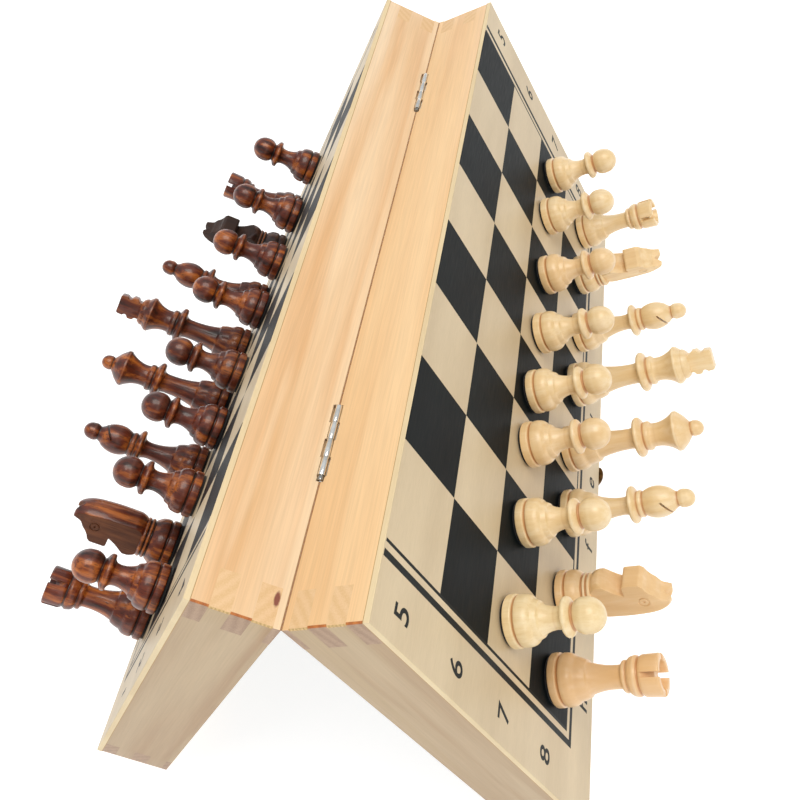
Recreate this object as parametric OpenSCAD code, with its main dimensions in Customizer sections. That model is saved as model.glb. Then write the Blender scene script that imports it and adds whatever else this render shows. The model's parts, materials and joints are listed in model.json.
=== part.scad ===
// Folding magnetic chess set: two shallow wooden trays joined by two butt hinges,
// standing as a tent with the playing faces outward, and 32 turned magnetic men.
// Millimetres, +Z up. The hinge line runs along Y; the floor is Z = 0 and the
// origin lies on the floor straight under the middle of the hinge line.
// Names ending in _light belong to the +X half, names ending in _dark to the -X half.

/* [Board] */
// Length of the box along the hinge line
board_length = 300; // [240:1:400]
// Side of one playing square
square = 31.5; // [24:0.5:42]
// Depth of the wooden frame under the playing panel
frame_depth = 24.5; // [18:0.5:34]
// Thickness of the playing panel
panel_t = 2; // [1.5:0.1:4]
// Thickness of the frame rails
rail_t = 11; // [8:0.5:14]

/* [Fold] */
// Angle between the two rim planes in the standing pose
stand_angle = 51; // [20:1:120]
// Set-back of every face from the hinge line, so the halves never bind
hinge_gap = 0.1; // [0.1:0.05:0.5]
// Outer radius of the hinge knuckles
knuckle_r = 1.2; // [1.2:0.1:2.5]
// Radius of the hinge pin
pin_r = 0.5; // [0.4:0.05:0.9]
// Length of the knuckle row of one hinge
hinge_length = 25.6; // [20:0.2:40]
// Width of a hinge leaf, measured across the rail
leaf_width = 8; // [6:0.5:10]

/* [Latch] */
// Distance of the hook pivot from the rim plane
pivot_w = 8.3; // [7:0.1:10]
// Distance of the catch post from the rim plane
post_w = 8.7; // [7:0.1:10]
// Angle of the parked hook from the direction of the panel
park_angle = 30; // [0:1:60]
// Thickness of the hook plate
hook_t = 1; // [0.8:0.1:1.5]

/* [Pieces] */
// Height of a king above the panel
king_height = 60; // [50:1:75]
// Gap between a standing piece and the panel
lift = 0.1; // [0.05:0.05:0.3]
// Thickness of the felt under each piece
felt_t = 0.9; // [0.5:0.1:1.5]
// Radius of the magnet let into each base
magnet_r = 3; // [2:0.5:4]
// Height of the magnet let into each base
magnet_h = 2.5; // [1.5:0.5:4]

/* [Hidden] */
// Sub-part shown or exported; "all" shows the whole set
half_width = board_length / 2;
half_length = board_length / 2;
half_depth = frame_depth + panel_t;
half_angle = stand_angle / 2;
// The rim corner of each front rail touches the floor
axis_z = half_width * cos(half_angle) - hinge_gap * sin(half_angle);
near_hinge_y = -90;
far_hinge_y = 93;
// Radius of the pin's head, and clearance of a recess round the leaf's own knuckles
// and round the other leaf's
pin_head_r = 1;
snug = 0.15;
loose = 0.6;
border = (board_length - 8 * square) / 2;
// Upper ends of the five fingers of every corner joint, from the rim
finger_top = [2.2, 8.0, 13.8, 19.6, frame_depth];
// Radius of the hook's round end and half the width of its slot
hook_end_r = 7;
slot_half = 1.5;
scale_k = king_height / 60;
// Thickness of the glue between magnet, wood and felt
glue = 0.03;
$fn = 48;

// ---- places ---------------------------------------------------------------
// Puts a half, drawn flat with its rim plane at Z = 0 and its hinge line on Y,
// into the standing pose. s is 1 for the light half and -1 for the dark half.
module stand(s) {
    translate([0, 0, axis_z]) {
        rotate([0, s * (90 - half_angle), 0]) {
            children();
        }
    }
}

// A box in half coordinates: v away from the hinge line, y along it, w from the rim
module block(s, v0, v1, y0, y1, w0, w1) {
    translate([s > 0 ? v0 : -v1, y0, w0]) {
        cube([v1 - v0, y1 - y0, w1 - w0]);
    }
}

// A round bar along the hinge line
module bar(r, y0, y1) {
    translate([0, y0, 0]) {
        rotate([-90, 0, 0]) {
            cylinder(r = r, h = y1 - y0);
        }
    }
}

// A round bar standing out of the front face of a half, from depth p0 to p1
module stud(s, y, w, r, p0, p1) {
    translate([s * (half_width + p0), y, w]) {
        rotate([0, s * 90, 0]) {
            cylinder(r = r, h = p1 - p0);
        }
    }
}

// ---- frame ----------------------------------------------------------------
// Pockets at both ends of a long rail, where the end rails' fingers enter
module long_rail_pockets(s, v0, v1) {
    for (e = [-1, 1]) {
        for (k = [0, 2]) {
            block(s, v0 - 1, v1 + 1, e > 0 ? half_length - rail_t : -half_length - 1,
                e > 0 ? half_length + 1 : -half_length + rail_t, finger_top[k], finger_top[k + 1]);
        }
    }
}

// Pilot holes of the hinge screws of one half
module screw_holes(s) {
    for (c = [near_hinge_y, far_hinge_y]) {
        for (d = [-8, 8]) {
            translate([s * 5, c + d, 0]) {
                cylinder(r = 0.7, h = 7);
            }
        }
    }
}

// Recess of one hinge: tight round the leaf's own knuckles, wide round the other
// leaf's, with room for the head of the pin at the near end
module hinge_recess(s, c) {
    pitch = hinge_length / 4;
    y0 = c - hinge_length / 2;
    bar(knuckle_r + snug, y0 - 0.4, y0 + hinge_length + 0.4);
    for (k = s > 0 ? [0, 2] : [1, 3]) {
        bar(knuckle_r + loose, y0 + k * pitch - 0.1, y0 + (k + 1) * pitch + 0.1);
    }
    bar(pin_head_r + snug, y0 - 1.9, y0);
    block(s, 0, leaf_width, y0, y0 + hinge_length, 0, 0.8);
}

module hinge_rail(s) {
    difference() {
        block(s, hinge_gap, rail_t, -half_length, half_length, hinge_gap, frame_depth);
        long_rail_pockets(s, hinge_gap, rail_t);
        for (c = [near_hinge_y, far_hinge_y]) {
            hinge_recess(s, c);
        }
        screw_holes(s);
    }
}

module front_rail(s) {
    difference() {
        block(s, half_width - rail_t, half_width, -half_length, half_length, hinge_gap, frame_depth);
        long_rail_pockets(s, half_width - rail_t, half_width);
        stud(s, 0, s > 0 ? pivot_w : post_w, 1.2, -6, 1);
    }
}

module end_rail(s, e) {
    difference() {
        block(s, hinge_gap, half_width, e > 0 ? half_length - rail_t : -half_length,
            e > 0 ? half_length : -half_length + rail_t, hinge_gap, frame_depth);
        for (v0 = [-1, half_width - rail_t]) {
            for (k = [-1, 1, 3]) {
                block(s, v0, v0 + rail_t + 1, -half_length - 1, half_length + 1,
                    k < 0 ? -1 : finger_top[k], k == 3 ? frame_depth + 1 : finger_top[k + 1]);
            }
        }
    }
}

module playing_panel(s) {
    block(s, hinge_gap, half_width, -half_length, half_length, frame_depth, half_depth);
}

module steel_sheet(s) {
    block(s, rail_t, half_width - rail_t, -half_length + rail_t, half_length - rail_t,
        frame_depth - 0.5, frame_depth);
}

module felt_lining(s) {
    block(s, rail_t, half_width - rail_t, -half_length + rail_t, half_length - rail_t,
        frame_depth - 1.5, frame_depth - 0.5);
}

// ---- hinges ---------------------------------------------------------------
// Knuckle 0 is the nearest one; even knuckles belong to the dark leaf
module hinge_leaf(s, c) {
    pitch = hinge_length / 4;
    y0 = c - hinge_length / 2;
    own = s > 0 ? [1, 3] : [0, 2];
    other = s > 0 ? [0, 2] : [1, 3];
    difference() {
        union() {
            difference() {
                block(s, 0, leaf_width, y0, y0 + hinge_length, 0.1, 0.8);
                for (k = other) {
                    bar(knuckle_r + 0.25, y0 + k * pitch - 0.1, y0 + (k + 1) * pitch + 0.1);
                }
                block(s, -1, knuckle_r + 0.25, y0 - 1, y0 + 0.08, -2, 2);
                block(s, -1, knuckle_r + 0.25, y0 + hinge_length - 0.08, y0 + hinge_length + 1, -2, 2);
            }
            for (k = own) {
                bar(knuckle_r, y0 + k * pitch + 0.08, y0 + (k + 1) * pitch - 0.08);
            }
        }
        bar(s > 0 ? pin_r + 0.05 : pin_r, y0 - 1, y0 + hinge_length + 1);
        for (d = [-8, 8]) {
            translate([s * 5, c + d, 0.1]) {
                cylinder(r1 = 1.4, r2 = 0.7, h = 0.7);
            }
        }
    }
}

module hinge_pin(c) {
    bar(pin_r, c - hinge_length / 2 - 0.6, c + hinge_length / 2 + 0.3);
    bar(pin_head_r, c - hinge_length / 2 - 1.6, c - hinge_length / 2 - 0.1);
}

module hinge_screws(s) {
    for (c = [near_hinge_y, far_hinge_y]) {
        for (d = [-8, 8]) {
            translate([s * 5, c + d, 0.1]) {
                cylinder(r1 = 1.4, r2 = 0.7, h = 0.7);
            }
            translate([s * 5, c + d, 0.8]) {
                cylinder(r = 0.7, h = 5.2);
            }
        }
    }
}

// ---- latch ----------------------------------------------------------------
module rosette(s, w) {
    difference() {
        stud(s, 0, w, 4.2, 0, 0.6);
        stud(s, 0, w, 1.2, -1, 1);
    }
}

// Rivet or post: a shank with a flat round head standing clear of the hook
module headed_stud(s, w) {
    stud(s, 0, w, 1.2, -6, 1.85);
    stud(s, 0, w, 2.2, 1.85, 2.45);
}

// Outline of the hook, pivot at the origin, pointing along +Y. The slot that takes
// the post is an arc about the pivot, open on the side that leads as the hook closes.
module hook_outline() {
    reach = pivot_w + post_w;
    difference() {
        union() {
            circle(r = 3.4);
            translate([-1.9, 0]) {
                square([3.8, reach - 2]);
            }
            intersection() {
                translate([0, reach - 2.5]) {
                    circle(r = hook_end_r);
                }
                translate([-6, reach - 4.4]) {
                    square([12, 10]);
                }
            }
        }
        circle(r = 1.28);
        difference() {
            circle(r = reach + slot_half);
            circle(r = reach - slot_half);
            translate([-40, -80]) {
                square([80, 80]);
            }
            translate([0, -1]) {
                square([40, 60]);
            }
        }
        translate([0, reach]) {
            circle(r = slot_half);
        }
    }
}

module hook() {
    translate([half_width + 0.7, 0, pivot_w]) {
        rotate([90, 0, 90]) {
            linear_extrude(height = hook_t) {
                rotate(park_angle) {
                    hook_outline();
                }
            }
        }
    }
}

// ---- chess men ------------------------------------------------------------
// Radius and height above the panel of each turned outline
function base_line(r) = [[0, 1], [r - 0.5, 1], [r, 1.5], [r, 3.5], [r - 0.5, 4.1],
    [r - 0.2, 4.8], [r - 0.2, 6.4], [r - 0.8, 8.2]];

pawn_line = concat(base_line(8.35), [[6.4, 9.2], [5.6, 9.8], [5.6, 11.2], [4.7, 11.9],
    [3.7, 14.2], [3.4, 16.6], [3.8, 18.2], [6.5, 19.3], [6.5, 20.1], [4.2, 21.7],
    [3.6, 22.2], [0, 22.2]]);
rook_line = concat(base_line(8.8), [[6.9, 10.2], [6, 11.2], [6, 12.8], [5.1, 13.4],
    [4.2, 18], [3.8, 24.2], [4.9, 24.8], [5.1, 26.4], [6.3, 28], [6.4, 30.3],
    [6.2, 30.8], [6.7, 31.5], [6.7, 37.4], [6.2, 38], [4.7, 38], [4.7, 33.4], [0, 33.4]]);
bishop_line = concat(base_line(9), [[7, 10.4], [6.1, 11.4], [6.1, 12.9], [5.1, 13.5],
    [4, 17], [3.3, 23.8], [3.7, 25.1], [6.9, 26], [6.9, 26.8], [4.7, 28.6], [4.8, 30.4],
    [4.5, 31.2], [5.5, 33.8], [5.9, 36.2], [5.4, 39], [4, 42], [2.7, 43.6], [2.7, 44], [0, 44]]);
queen_line = concat(base_line(9.2), [[7.4, 10.8], [6.5, 12], [6.5, 13.8], [5.4, 14.4],
    [4.5, 20], [4, 27.4], [4.4, 29], [7.7, 30], [7.7, 30.9], [5.2, 33], [5.2, 34.6],
    [4.5, 36], [4.5, 38.4], [5.6, 42.2], [7.6, 45.2], [7.6, 46.2], [4.8, 49], [3, 50.6], [0, 50.6]]);
king_line = concat(base_line(9.4), [[7.6, 11], [6.7, 12.2], [6.7, 14], [5.6, 14.6],
    [4.8, 20], [4.2, 27.6], [4.7, 29.1], [8.1, 30.1], [8.1, 31], [5.5, 33.2], [5.5, 34.8],
    [4.8, 36.2], [4.8, 38.6], [5.9, 42.4], [7.7, 45.2], [7.7, 46.2], [5.2, 49], [4.2, 50.8], [0, 50.8]]);
knight_line = concat(base_line(8.8), [[7.1, 9.8], [6.8, 10.6], [7.4, 11.4], [7.4, 12.2],
    [7, 12.6], [0, 12.6]]);
// Side view of the horse head: forward distance and height
knight_side = [[-5, 11.8], [-5, 12.6], [-7.6, 12.6], [-8.4, 16], [-8.5, 34], [-7.4, 37.4], [-5, 39.3], [-2.9, 39.6],
    [-2.2, 37], [0.6, 36.2], [2.2, 33.6], [5.6, 32.6], [6.6, 30.8], [6.6, 27], [1.8, 25.8],
    [4.2, 22.2], [7.4, 18.4], [8, 15.8], [7.2, 12.6], [5, 12.6], [5, 11.8]];

module turned(line) {
    rotate_extrude() {
        polygon(line);
    }
}

// Places a piece on its square of half s: file 1 is the nearest, row 1 the innermost
module on_square(s, file, row, du, dv) {
    translate([s * (square * (row - 0.5) + dv), border - half_length + square * (file - 0.5) + du,
        half_depth]) {
        children();
    }
}

// Wood with its magnet pocket, the magnet, and the felt pad, a glue line apart
module man(line) {
    scale([scale_k, scale_k, scale_k]) {
        difference() {
            union() {
                turned(line);
                children();
            }
            translate([0, 0, lift + felt_t - glue]) {
                cylinder(r = magnet_r + glue, h = magnet_h + 2 * glue);
            }
        }
        translate([0, 0, lift + felt_t]) {
            cylinder(r = magnet_r, h = magnet_h);
        }
        translate([0, 0, lift]) {
            cylinder(r = line[2][0] - 0.3, h = felt_t - glue);
        }
    }
}

module pawn() {
    man(pawn_line) {
        translate([0, 0, 26.3]) {
            sphere(r = 5.75);
        }
    }
}

// turn: direction one of the four crown slots faces
module rook(turn) {
    difference() {
        man(rook_line);
        for (a = [0, 90]) {
            rotate([0, 0, turn + a]) {
                translate([-10, -0.9, 32]) {
                    cube([20, 1.8, 10]);
                }
            }
        }
    }
}

// turn: direction the mitre slit faces
module bishop(turn) {
    difference() {
        man(bishop_line) {
            translate([0, 0, 46.6]) {
                sphere(r = 3.5);
            }
        }
        rotate([0, 0, turn]) {
            translate([1.6, -8, 37.2]) {
                rotate([0, -40, 0]) {
                    cube([9, 16, 0.8]);
                }
            }
        }
    }
}

module queen() {
    man(queen_line) {
        translate([0, 0, 52.4]) {
            sphere(r = 3.1);
        }
    }
}

// Flat sawn cross on the crown; turn: direction its broad face looks
module king(turn) {
    man(king_line) {
        rotate([0, 0, turn]) {
            translate([-2.4, -4, 50.4]) {
                cube([4.8, 8, 2]);
            }
            translate([-2.4, -4.9, 52.4]) {
                cube([4.8, 9.8, 2.8]);
            }
            translate([-2.4, -3.5, 55.2]) {
                cube([4.8, 7, 1.8]);
            }
            translate([-2.4, -4.1, 57]) {
                cube([4.8, 8.2, 3]);
            }
        }
    }
}

// turn: direction the muzzle looks, 0 along +X of the half
module knight(turn) {
    man(knight_line) {
        rotate([0, 0, turn]) {
            intersection() {
                translate([0, 4.9, 0]) {
                    rotate([90, 0, 0]) {
                        linear_extrude(height = 9.8) {
                            polygon(knight_side);
                        }
                    }
                }
                cylinder(r = 9, h = 60);
            }
        }
    }
}

// ---- sub-parts: trays -----------------------------------------------------
module hinge_rail_light() { color("#f2cf9c") { stand(1) { hinge_rail(1); } } }
module front_rail_light() { color("#f2cf9c") { stand(1) { front_rail(1); } } }
module near_end_rail_light() { color("#e6c793") { stand(1) { end_rail(1, -1); } } }
module far_end_rail_light() { color("#e6c793") { stand(1) { end_rail(1, 1); } } }
module playing_panel_light() { color("#dcc6a4") { stand(1) { playing_panel(1); } } }
module steel_sheet_light() { color("#8d9196") { stand(1) { steel_sheet(1); } } }
module felt_lining_light() { color("#2f5b3c") { stand(1) { felt_lining(1); } } }
module hinge_rail_dark() { color("#f2cf9c") { stand(-1) { hinge_rail(-1); } } }
module front_rail_dark() { color("#f2cf9c") { stand(-1) { front_rail(-1); } } }
module near_end_rail_dark() { color("#e6c793") { stand(-1) { end_rail(-1, -1); } } }
module far_end_rail_dark() { color("#e6c793") { stand(-1) { end_rail(-1, 1); } } }
module playing_panel_dark() { color("#dcc6a4") { stand(-1) { playing_panel(-1); } } }
module steel_sheet_dark() { color("#8d9196") { stand(-1) { steel_sheet(-1); } } }
module felt_lining_dark() { color("#2f5b3c") { stand(-1) { felt_lining(-1); } } }

// ---- sub-parts: hinges and latch ------------------------------------------
module near_hinge_leaf_light() { color("#b9b7b0") { stand(1) { hinge_leaf(1, near_hinge_y); } } }
module near_hinge_leaf_dark() { color("#b9b7b0") { stand(-1) { hinge_leaf(-1, near_hinge_y); } } }
module near_hinge_pin() { color("#8f8f8c") { stand(-1) { hinge_pin(near_hinge_y); } } }
module far_hinge_leaf_light() { color("#b9b7b0") { stand(1) { hinge_leaf(1, far_hinge_y); } } }
module far_hinge_leaf_dark() { color("#b9b7b0") { stand(-1) { hinge_leaf(-1, far_hinge_y); } } }
module far_hinge_pin() { color("#8f8f8c") { stand(-1) { hinge_pin(far_hinge_y); } } }
module hinge_screws_light() { color("#9a9a96") { stand(1) { hinge_screws(1); } } }
module hinge_screws_dark() { color("#9a9a96") { stand(-1) { hinge_screws(-1); } } }
module latch_rosette() { color("#4a3826") { stand(1) { rosette(1, pivot_w); } } }
module latch_rivet() { color("#5a4630") { stand(1) { headed_stud(1, pivot_w); } } }
module latch_hook() { color("#4a3826") { stand(1) { hook(); } } }
module catch_rosette() { color("#4a3826") { stand(-1) { rosette(-1, post_w); } } }
module catch_post() { color("#5a4630") { stand(-1) { headed_stud(-1, post_w); } } }

// ---- sub-parts: light men on the +X half ----------------------------------
module light_man(file, row, du, dv) {
    color("#e8cf9e") { stand(1) { on_square(1, file, row, du, dv) { children(); } } }
}

module light_rook_h() { light_man(1, 4, -5, 3) { rook(22); } }
module light_knight_g() { light_man(2, 4, -4.5, 5.5) { knight(165); } }
module light_bishop_f() { light_man(3, 4, -1, 6) { bishop(305); } }
module light_queen_e() { light_man(4, 4, -4.5, 2.5) { queen(); } }
module light_king_d() { light_man(5, 4, 0, 6) { king(235); } }
module light_bishop_c() { light_man(6, 4, -0.3, 6.5) { bishop(305); } }
module light_knight_b() { light_man(7, 4, 3, 4) { knight(210); } }
module light_rook_a() { light_man(8, 4, 3.4, 4.5) { rook(69); } }
module light_pawn_h() { light_man(1, 3, -2.2, -2.7) { pawn(); } }
module light_pawn_g() { light_man(2, 3, 3.4, -0.4) { pawn(); } }
module light_pawn_f() { light_man(3, 3, 3.7, -2.3) { pawn(); } }
module light_pawn_e() { light_man(4, 3, -3, -2.3) { pawn(); } }
module light_pawn_d() { light_man(5, 3, -2.8, -0.7) { pawn(); } }
module light_pawn_c() { light_man(6, 3, -0.6, -0.8) { pawn(); } }
module light_pawn_b() { light_man(7, 3, 2.7, -4) { pawn(); } }
module light_pawn_a() { light_man(8, 3, 2.2, -2.5) { pawn(); } }

// ---- sub-parts: dark men on the -X half -----------------------------------
module dark_man(file, row, du, dv) {
    color("#7a4022") { stand(-1) { on_square(-1, file, row, du, dv) { children(); } } }
}

module dark_rook_h() { dark_man(1, 4, -2.2, 2) { rook(-27); } }
module dark_knight_g() { dark_man(2, 4, -5.2, 2.3) { knight(200); } }
module dark_bishop_f() { dark_man(3, 4, -0.8, 3) { bishop(53); } }
module dark_queen_e() { dark_man(4, 4, 1, 3) { queen(); } }
module dark_king_d() { dark_man(5, 4, 3.3, 6) { king(-55); } }
module dark_bishop_c() { dark_man(6, 4, 0, 4) { bishop(143); } }
module dark_knight_b() { dark_man(7, 4, 2.4, 3) { knight(0); } }
module dark_rook_a() { dark_man(8, 4, 2.7, 3) { rook(-45); } }
module dark_pawn_h() { dark_man(1, 3, -5.5, 0.5) { pawn(); } }
module dark_pawn_g() { dark_man(2, 3, 0.3, 0.5) { pawn(); } }
module dark_pawn_f() { dark_man(3, 3, -1.7, 0.5) { pawn(); } }
module dark_pawn_e() { dark_man(4, 3, -5.5, 0.5) { pawn(); } }
module dark_pawn_d() { dark_man(5, 3, -2.2, 0.5) { pawn(); } }
module dark_pawn_c() { dark_man(6, 3, -4, 0.5) { pawn(); } }
module dark_pawn_b() { dark_man(7, 3, -3.9, 0.5) { pawn(); } }
module dark_pawn_a() { dark_man(8, 3, 0.4, 0.5) { pawn(); } }

hinge_rail_light();
front_rail_light();
near_end_rail_light();
far_end_rail_light();
playing_panel_light();
steel_sheet_light();
felt_lining_light();
hinge_rail_dark();
front_rail_dark();
near_end_rail_dark();
far_end_rail_dark();
playing_panel_dark();
steel_sheet_dark();
felt_lining_dark();
near_hinge_leaf_light();
near_hinge_leaf_dark();
near_hinge_pin();
far_hinge_leaf_light();
far_hinge_leaf_dark();
far_hinge_pin();
hinge_screws_light();
hinge_screws_dark();
latch_rosette();
latch_rivet();
latch_hook();
catch_rosette();
catch_post();
light_rook_h();
light_knight_g();
light_bishop_f();
light_queen_e();
light_king_d();
light_bishop_c();
light_knight_b();
light_rook_a();
light_pawn_h();
light_pawn_g();
light_pawn_f();
light_pawn_e();
light_pawn_d();
light_pawn_c();
light_pawn_b();
light_pawn_a();
dark_rook_h();
dark_knight_g();
dark_bishop_f();
dark_queen_e();
dark_king_d();
dark_bishop_c();
dark_knight_b();
dark_rook_a();
dark_pawn_h();
dark_pawn_g();
dark_pawn_f();
dark_pawn_e();
dark_pawn_d();
dark_pawn_c();
dark_pawn_b();
dark_pawn_a();
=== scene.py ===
"""Folding magnetic chess set, open as a tent with its men standing on both faces.

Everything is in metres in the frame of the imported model: the hinge line runs along Y,
the floor is Z = 0, the light half leans to +X and the dark half to -X.  The parts of a
half are shaped lying flat (X away from the hinge line, Y along it, Z out of the tray)
and their finished meshes are then turned into place.
"""

import json
import logging
import math
from collections.abc import Callable, Iterable
from dataclasses import dataclass, field, replace
from enum import Enum

import bpy
from mathutils import Matrix, Vector


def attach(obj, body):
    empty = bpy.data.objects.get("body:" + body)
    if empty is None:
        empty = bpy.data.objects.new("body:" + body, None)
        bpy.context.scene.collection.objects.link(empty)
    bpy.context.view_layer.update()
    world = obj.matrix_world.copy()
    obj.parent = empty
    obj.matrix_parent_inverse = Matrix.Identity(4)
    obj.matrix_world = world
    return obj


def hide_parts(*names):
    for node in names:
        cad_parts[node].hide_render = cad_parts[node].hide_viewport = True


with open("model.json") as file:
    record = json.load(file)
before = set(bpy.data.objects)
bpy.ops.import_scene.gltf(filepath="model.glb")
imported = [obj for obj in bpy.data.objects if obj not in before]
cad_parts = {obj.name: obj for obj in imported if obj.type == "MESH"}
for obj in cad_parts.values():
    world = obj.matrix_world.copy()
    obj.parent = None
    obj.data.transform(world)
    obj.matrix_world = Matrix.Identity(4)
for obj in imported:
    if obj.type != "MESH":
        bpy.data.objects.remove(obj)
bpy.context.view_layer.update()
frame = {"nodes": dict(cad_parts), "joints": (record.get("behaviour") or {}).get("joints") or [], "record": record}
MM = 0.001
LOG = logging.getLogger("chess_set")
BODY_OF = {n: b for b, nodes in frame["record"]["behaviour"]["bodies"].items() for n in nodes}


class Side(Enum):
    """The two halves; the value is the sign of X on which a half stands."""

    LIGHT = 1
    DARK = -1

    @property
    def word(self) -> str:
        """Name of the half as the nodes use it."""
        return self.name.lower()


class Grain(Enum):
    """Direction of the wood fibres in the coordinates of a half lying flat."""

    ACROSS = 0
    ALONG = 1
    UPRIGHT = 2


@dataclass(frozen=True)
class Stance:
    """How the two halves stand: the angle between them and the height of their hinge line."""

    stand_angle: float = math.radians(51)

    @property
    def hinge_height(self) -> float:
        """Height of the hinge line, from the fold joint."""
        fold = next(j for j in frame["joints"] if j["name"] == "board_fold")
        return fold["pos_m"][2]

    def lean(self, side: Side) -> float:
        """Turn about Y that stands a flat half up."""
        return side.value * (math.pi / 2 - self.stand_angle / 2)

    def matrix(self, side: Side) -> Matrix:
        """Placement of a half that was shaped lying flat."""
        up = Matrix.Translation((0, 0, self.hinge_height))
        return up @ Matrix.Rotation(self.lean(side), 4, "Y")


STANCE = Stance()


# ---- shader helpers -----------------------------------------------------------------
def linear(code: str) -> tuple[float, float, float, float]:
    """Turns an sRGB hex colour into linear RGBA.

    Args:
        code: Colour such as "#d8c29f".

    Returns:
        The four linear components, opaque.
    """
    parts = [int(code[i : i + 2], 16) / 255 for i in (1, 3, 5)]
    r, g, b = (p / 12.92 if p <= 0.04045 else ((p + 0.055) / 1.055) ** 2.4 for p in parts)
    return (r, g, b, 1.0)


def add_node(
    tree: bpy.types.NodeTree,
    kind: str,
    inputs: dict | None = None,
    stops: Iterable[tuple[float, str]] = (),
    **settings: object,
) -> bpy.types.Node:
    """Adds a shader node with its settings, values and links.

    Args:
        tree: Node tree of the material.
        kind: Blender's node type without its "ShaderNode" prefix.
        inputs: Socket name or index to a value, or to the output socket linked into it.
        stops: Positions and hex colours of a colour ramp.
        settings: Properties of the node.

    Returns:
        The new node.
    """
    node = tree.nodes.new("ShaderNode" + kind)
    for name, value in settings.items():
        setattr(node, name, value)
    for place, (position, code) in enumerate(stops):
        ramp = node.color_ramp.elements
        stop = ramp[place] if place < 2 else ramp.new(position)
        stop.position = position
        stop.color = linear(code)
    for name, value in (inputs or {}).items():
        if isinstance(value, bpy.types.NodeSocket):
            tree.links.new(value, node.inputs[name])
        else:
            node.inputs[name].default_value = value
    return node


def size_to_scale(size_mm: float) -> float:
    """Scale of a noise texture whose features are about that many millimetres wide."""
    return 1 / (size_mm * MM)


def rings_to_scale(size_mm: float) -> float:
    """Scale of a ring wave whose rings are that many millimetres apart."""
    return 2 * math.pi / (20 * size_mm * MM)


@dataclass(frozen=True)
class Finish:
    """What every finish has: a name, the roughness and a way to start its node tree."""

    name: str
    roughness: float = 0.5
    metallic: float = 0.0
    ior: float = 1.5
    coat: float = 0.0
    coat_roughness: float = 0.1

    def start(self) -> tuple[bpy.types.Material, bpy.types.NodeTree, bpy.types.Node]:
        """Makes the material with its surface shader.

        Returns:
            The material, its node tree and the surface shader.
        """
        material = bpy.data.materials.new(self.name)
        material.use_nodes = True
        tree = material.node_tree
        surface = tree.nodes["Principled BSDF"]
        surface.inputs["Roughness"].default_value = self.roughness
        surface.inputs["Metallic"].default_value = self.metallic
        if not self.metallic:
            surface.inputs["IOR"].default_value = self.ior
        surface.inputs["Coat Weight"].default_value = self.coat
        surface.inputs["Coat Roughness"].default_value = self.coat_roughness
        return material, tree, surface

    @property
    def material(self) -> bpy.types.Material:
        """The finish's material, built on first use."""
        return bpy.data.materials.get(self.name) or self.build()

    def build(self) -> bpy.types.Material:
        """Builds the nodes; each finish has its own."""
        raise NotImplementedError

    def bump(
        self, tree: bpy.types.NodeTree, surface: bpy.types.Node, height: bpy.types.NodeSocket,
        depth_mm: float, strength: float = 0.5,
    ) -> None:
        """Links a height into the surface's normal.

        Args:
            tree: Node tree of the material.
            surface: Surface shader.
            height: Socket from 0 to 1.
            depth_mm: Depth that 1 stands for.
            strength: Share of the full slope.
        """
        made = add_node(tree, "Bump", {"Height": height, "Distance": depth_mm * MM, "Strength": strength})
        tree.links.new(made.outputs["Normal"], surface.inputs["Normal"])


@dataclass(frozen=True)
class WoodFinish(Finish):
    """A wood whose fibres run in one direction of its half."""

    side: Side = Side.LIGHT
    grain: Grain = Grain.ALONG

    def flat(self, tree: bpy.types.NodeTree) -> bpy.types.NodeSocket:
        """Coordinates of the half lying flat.

        Args:
            tree: Node tree of the material.

        Returns:
            Socket with the position in metres.
        """
        where = add_node(tree, "TexCoord").outputs["Object"]
        lain = {"Vector": where, "Location": (0, 0, STANCE.hinge_height)}
        lain["Rotation"] = (0, STANCE.lean(self.side), 0)
        return add_node(tree, "Mapping", lain, vector_type="TEXTURE").outputs["Vector"]

    def fibres(
        self, tree: bpy.types.NodeTree, flat: bpy.types.NodeSocket, width_mm: float, stretch: float,
        detail: float = 3.0, shift: float = 0.0,
    ) -> bpy.types.NodeSocket:
        """Noise drawn out along the fibres.

        Args:
            tree: Node tree of the material.
            flat: Position in the flat half.
            width_mm: Width of a streak across the fibres.
            stretch: How many times longer than wide a streak is.
            detail: Finer octaves.
            shift: Offset in metres, so that two boards differ.

        Returns:
            Socket from 0 to 1.
        """
        squeeze = [1.0, 1.0, 1.0]
        squeeze[self.grain.value] = 1 / stretch
        drawn = {"Vector": flat, "Scale": squeeze, "Location": (shift, shift * 0.7, shift * 0.4)}
        place = add_node(tree, "Mapping", drawn)
        noise = {"Vector": place.outputs[0], "Scale": size_to_scale(width_mm), "Detail": detail}
        return add_node(tree, "TexNoise", noise).outputs["Fac"]


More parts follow.
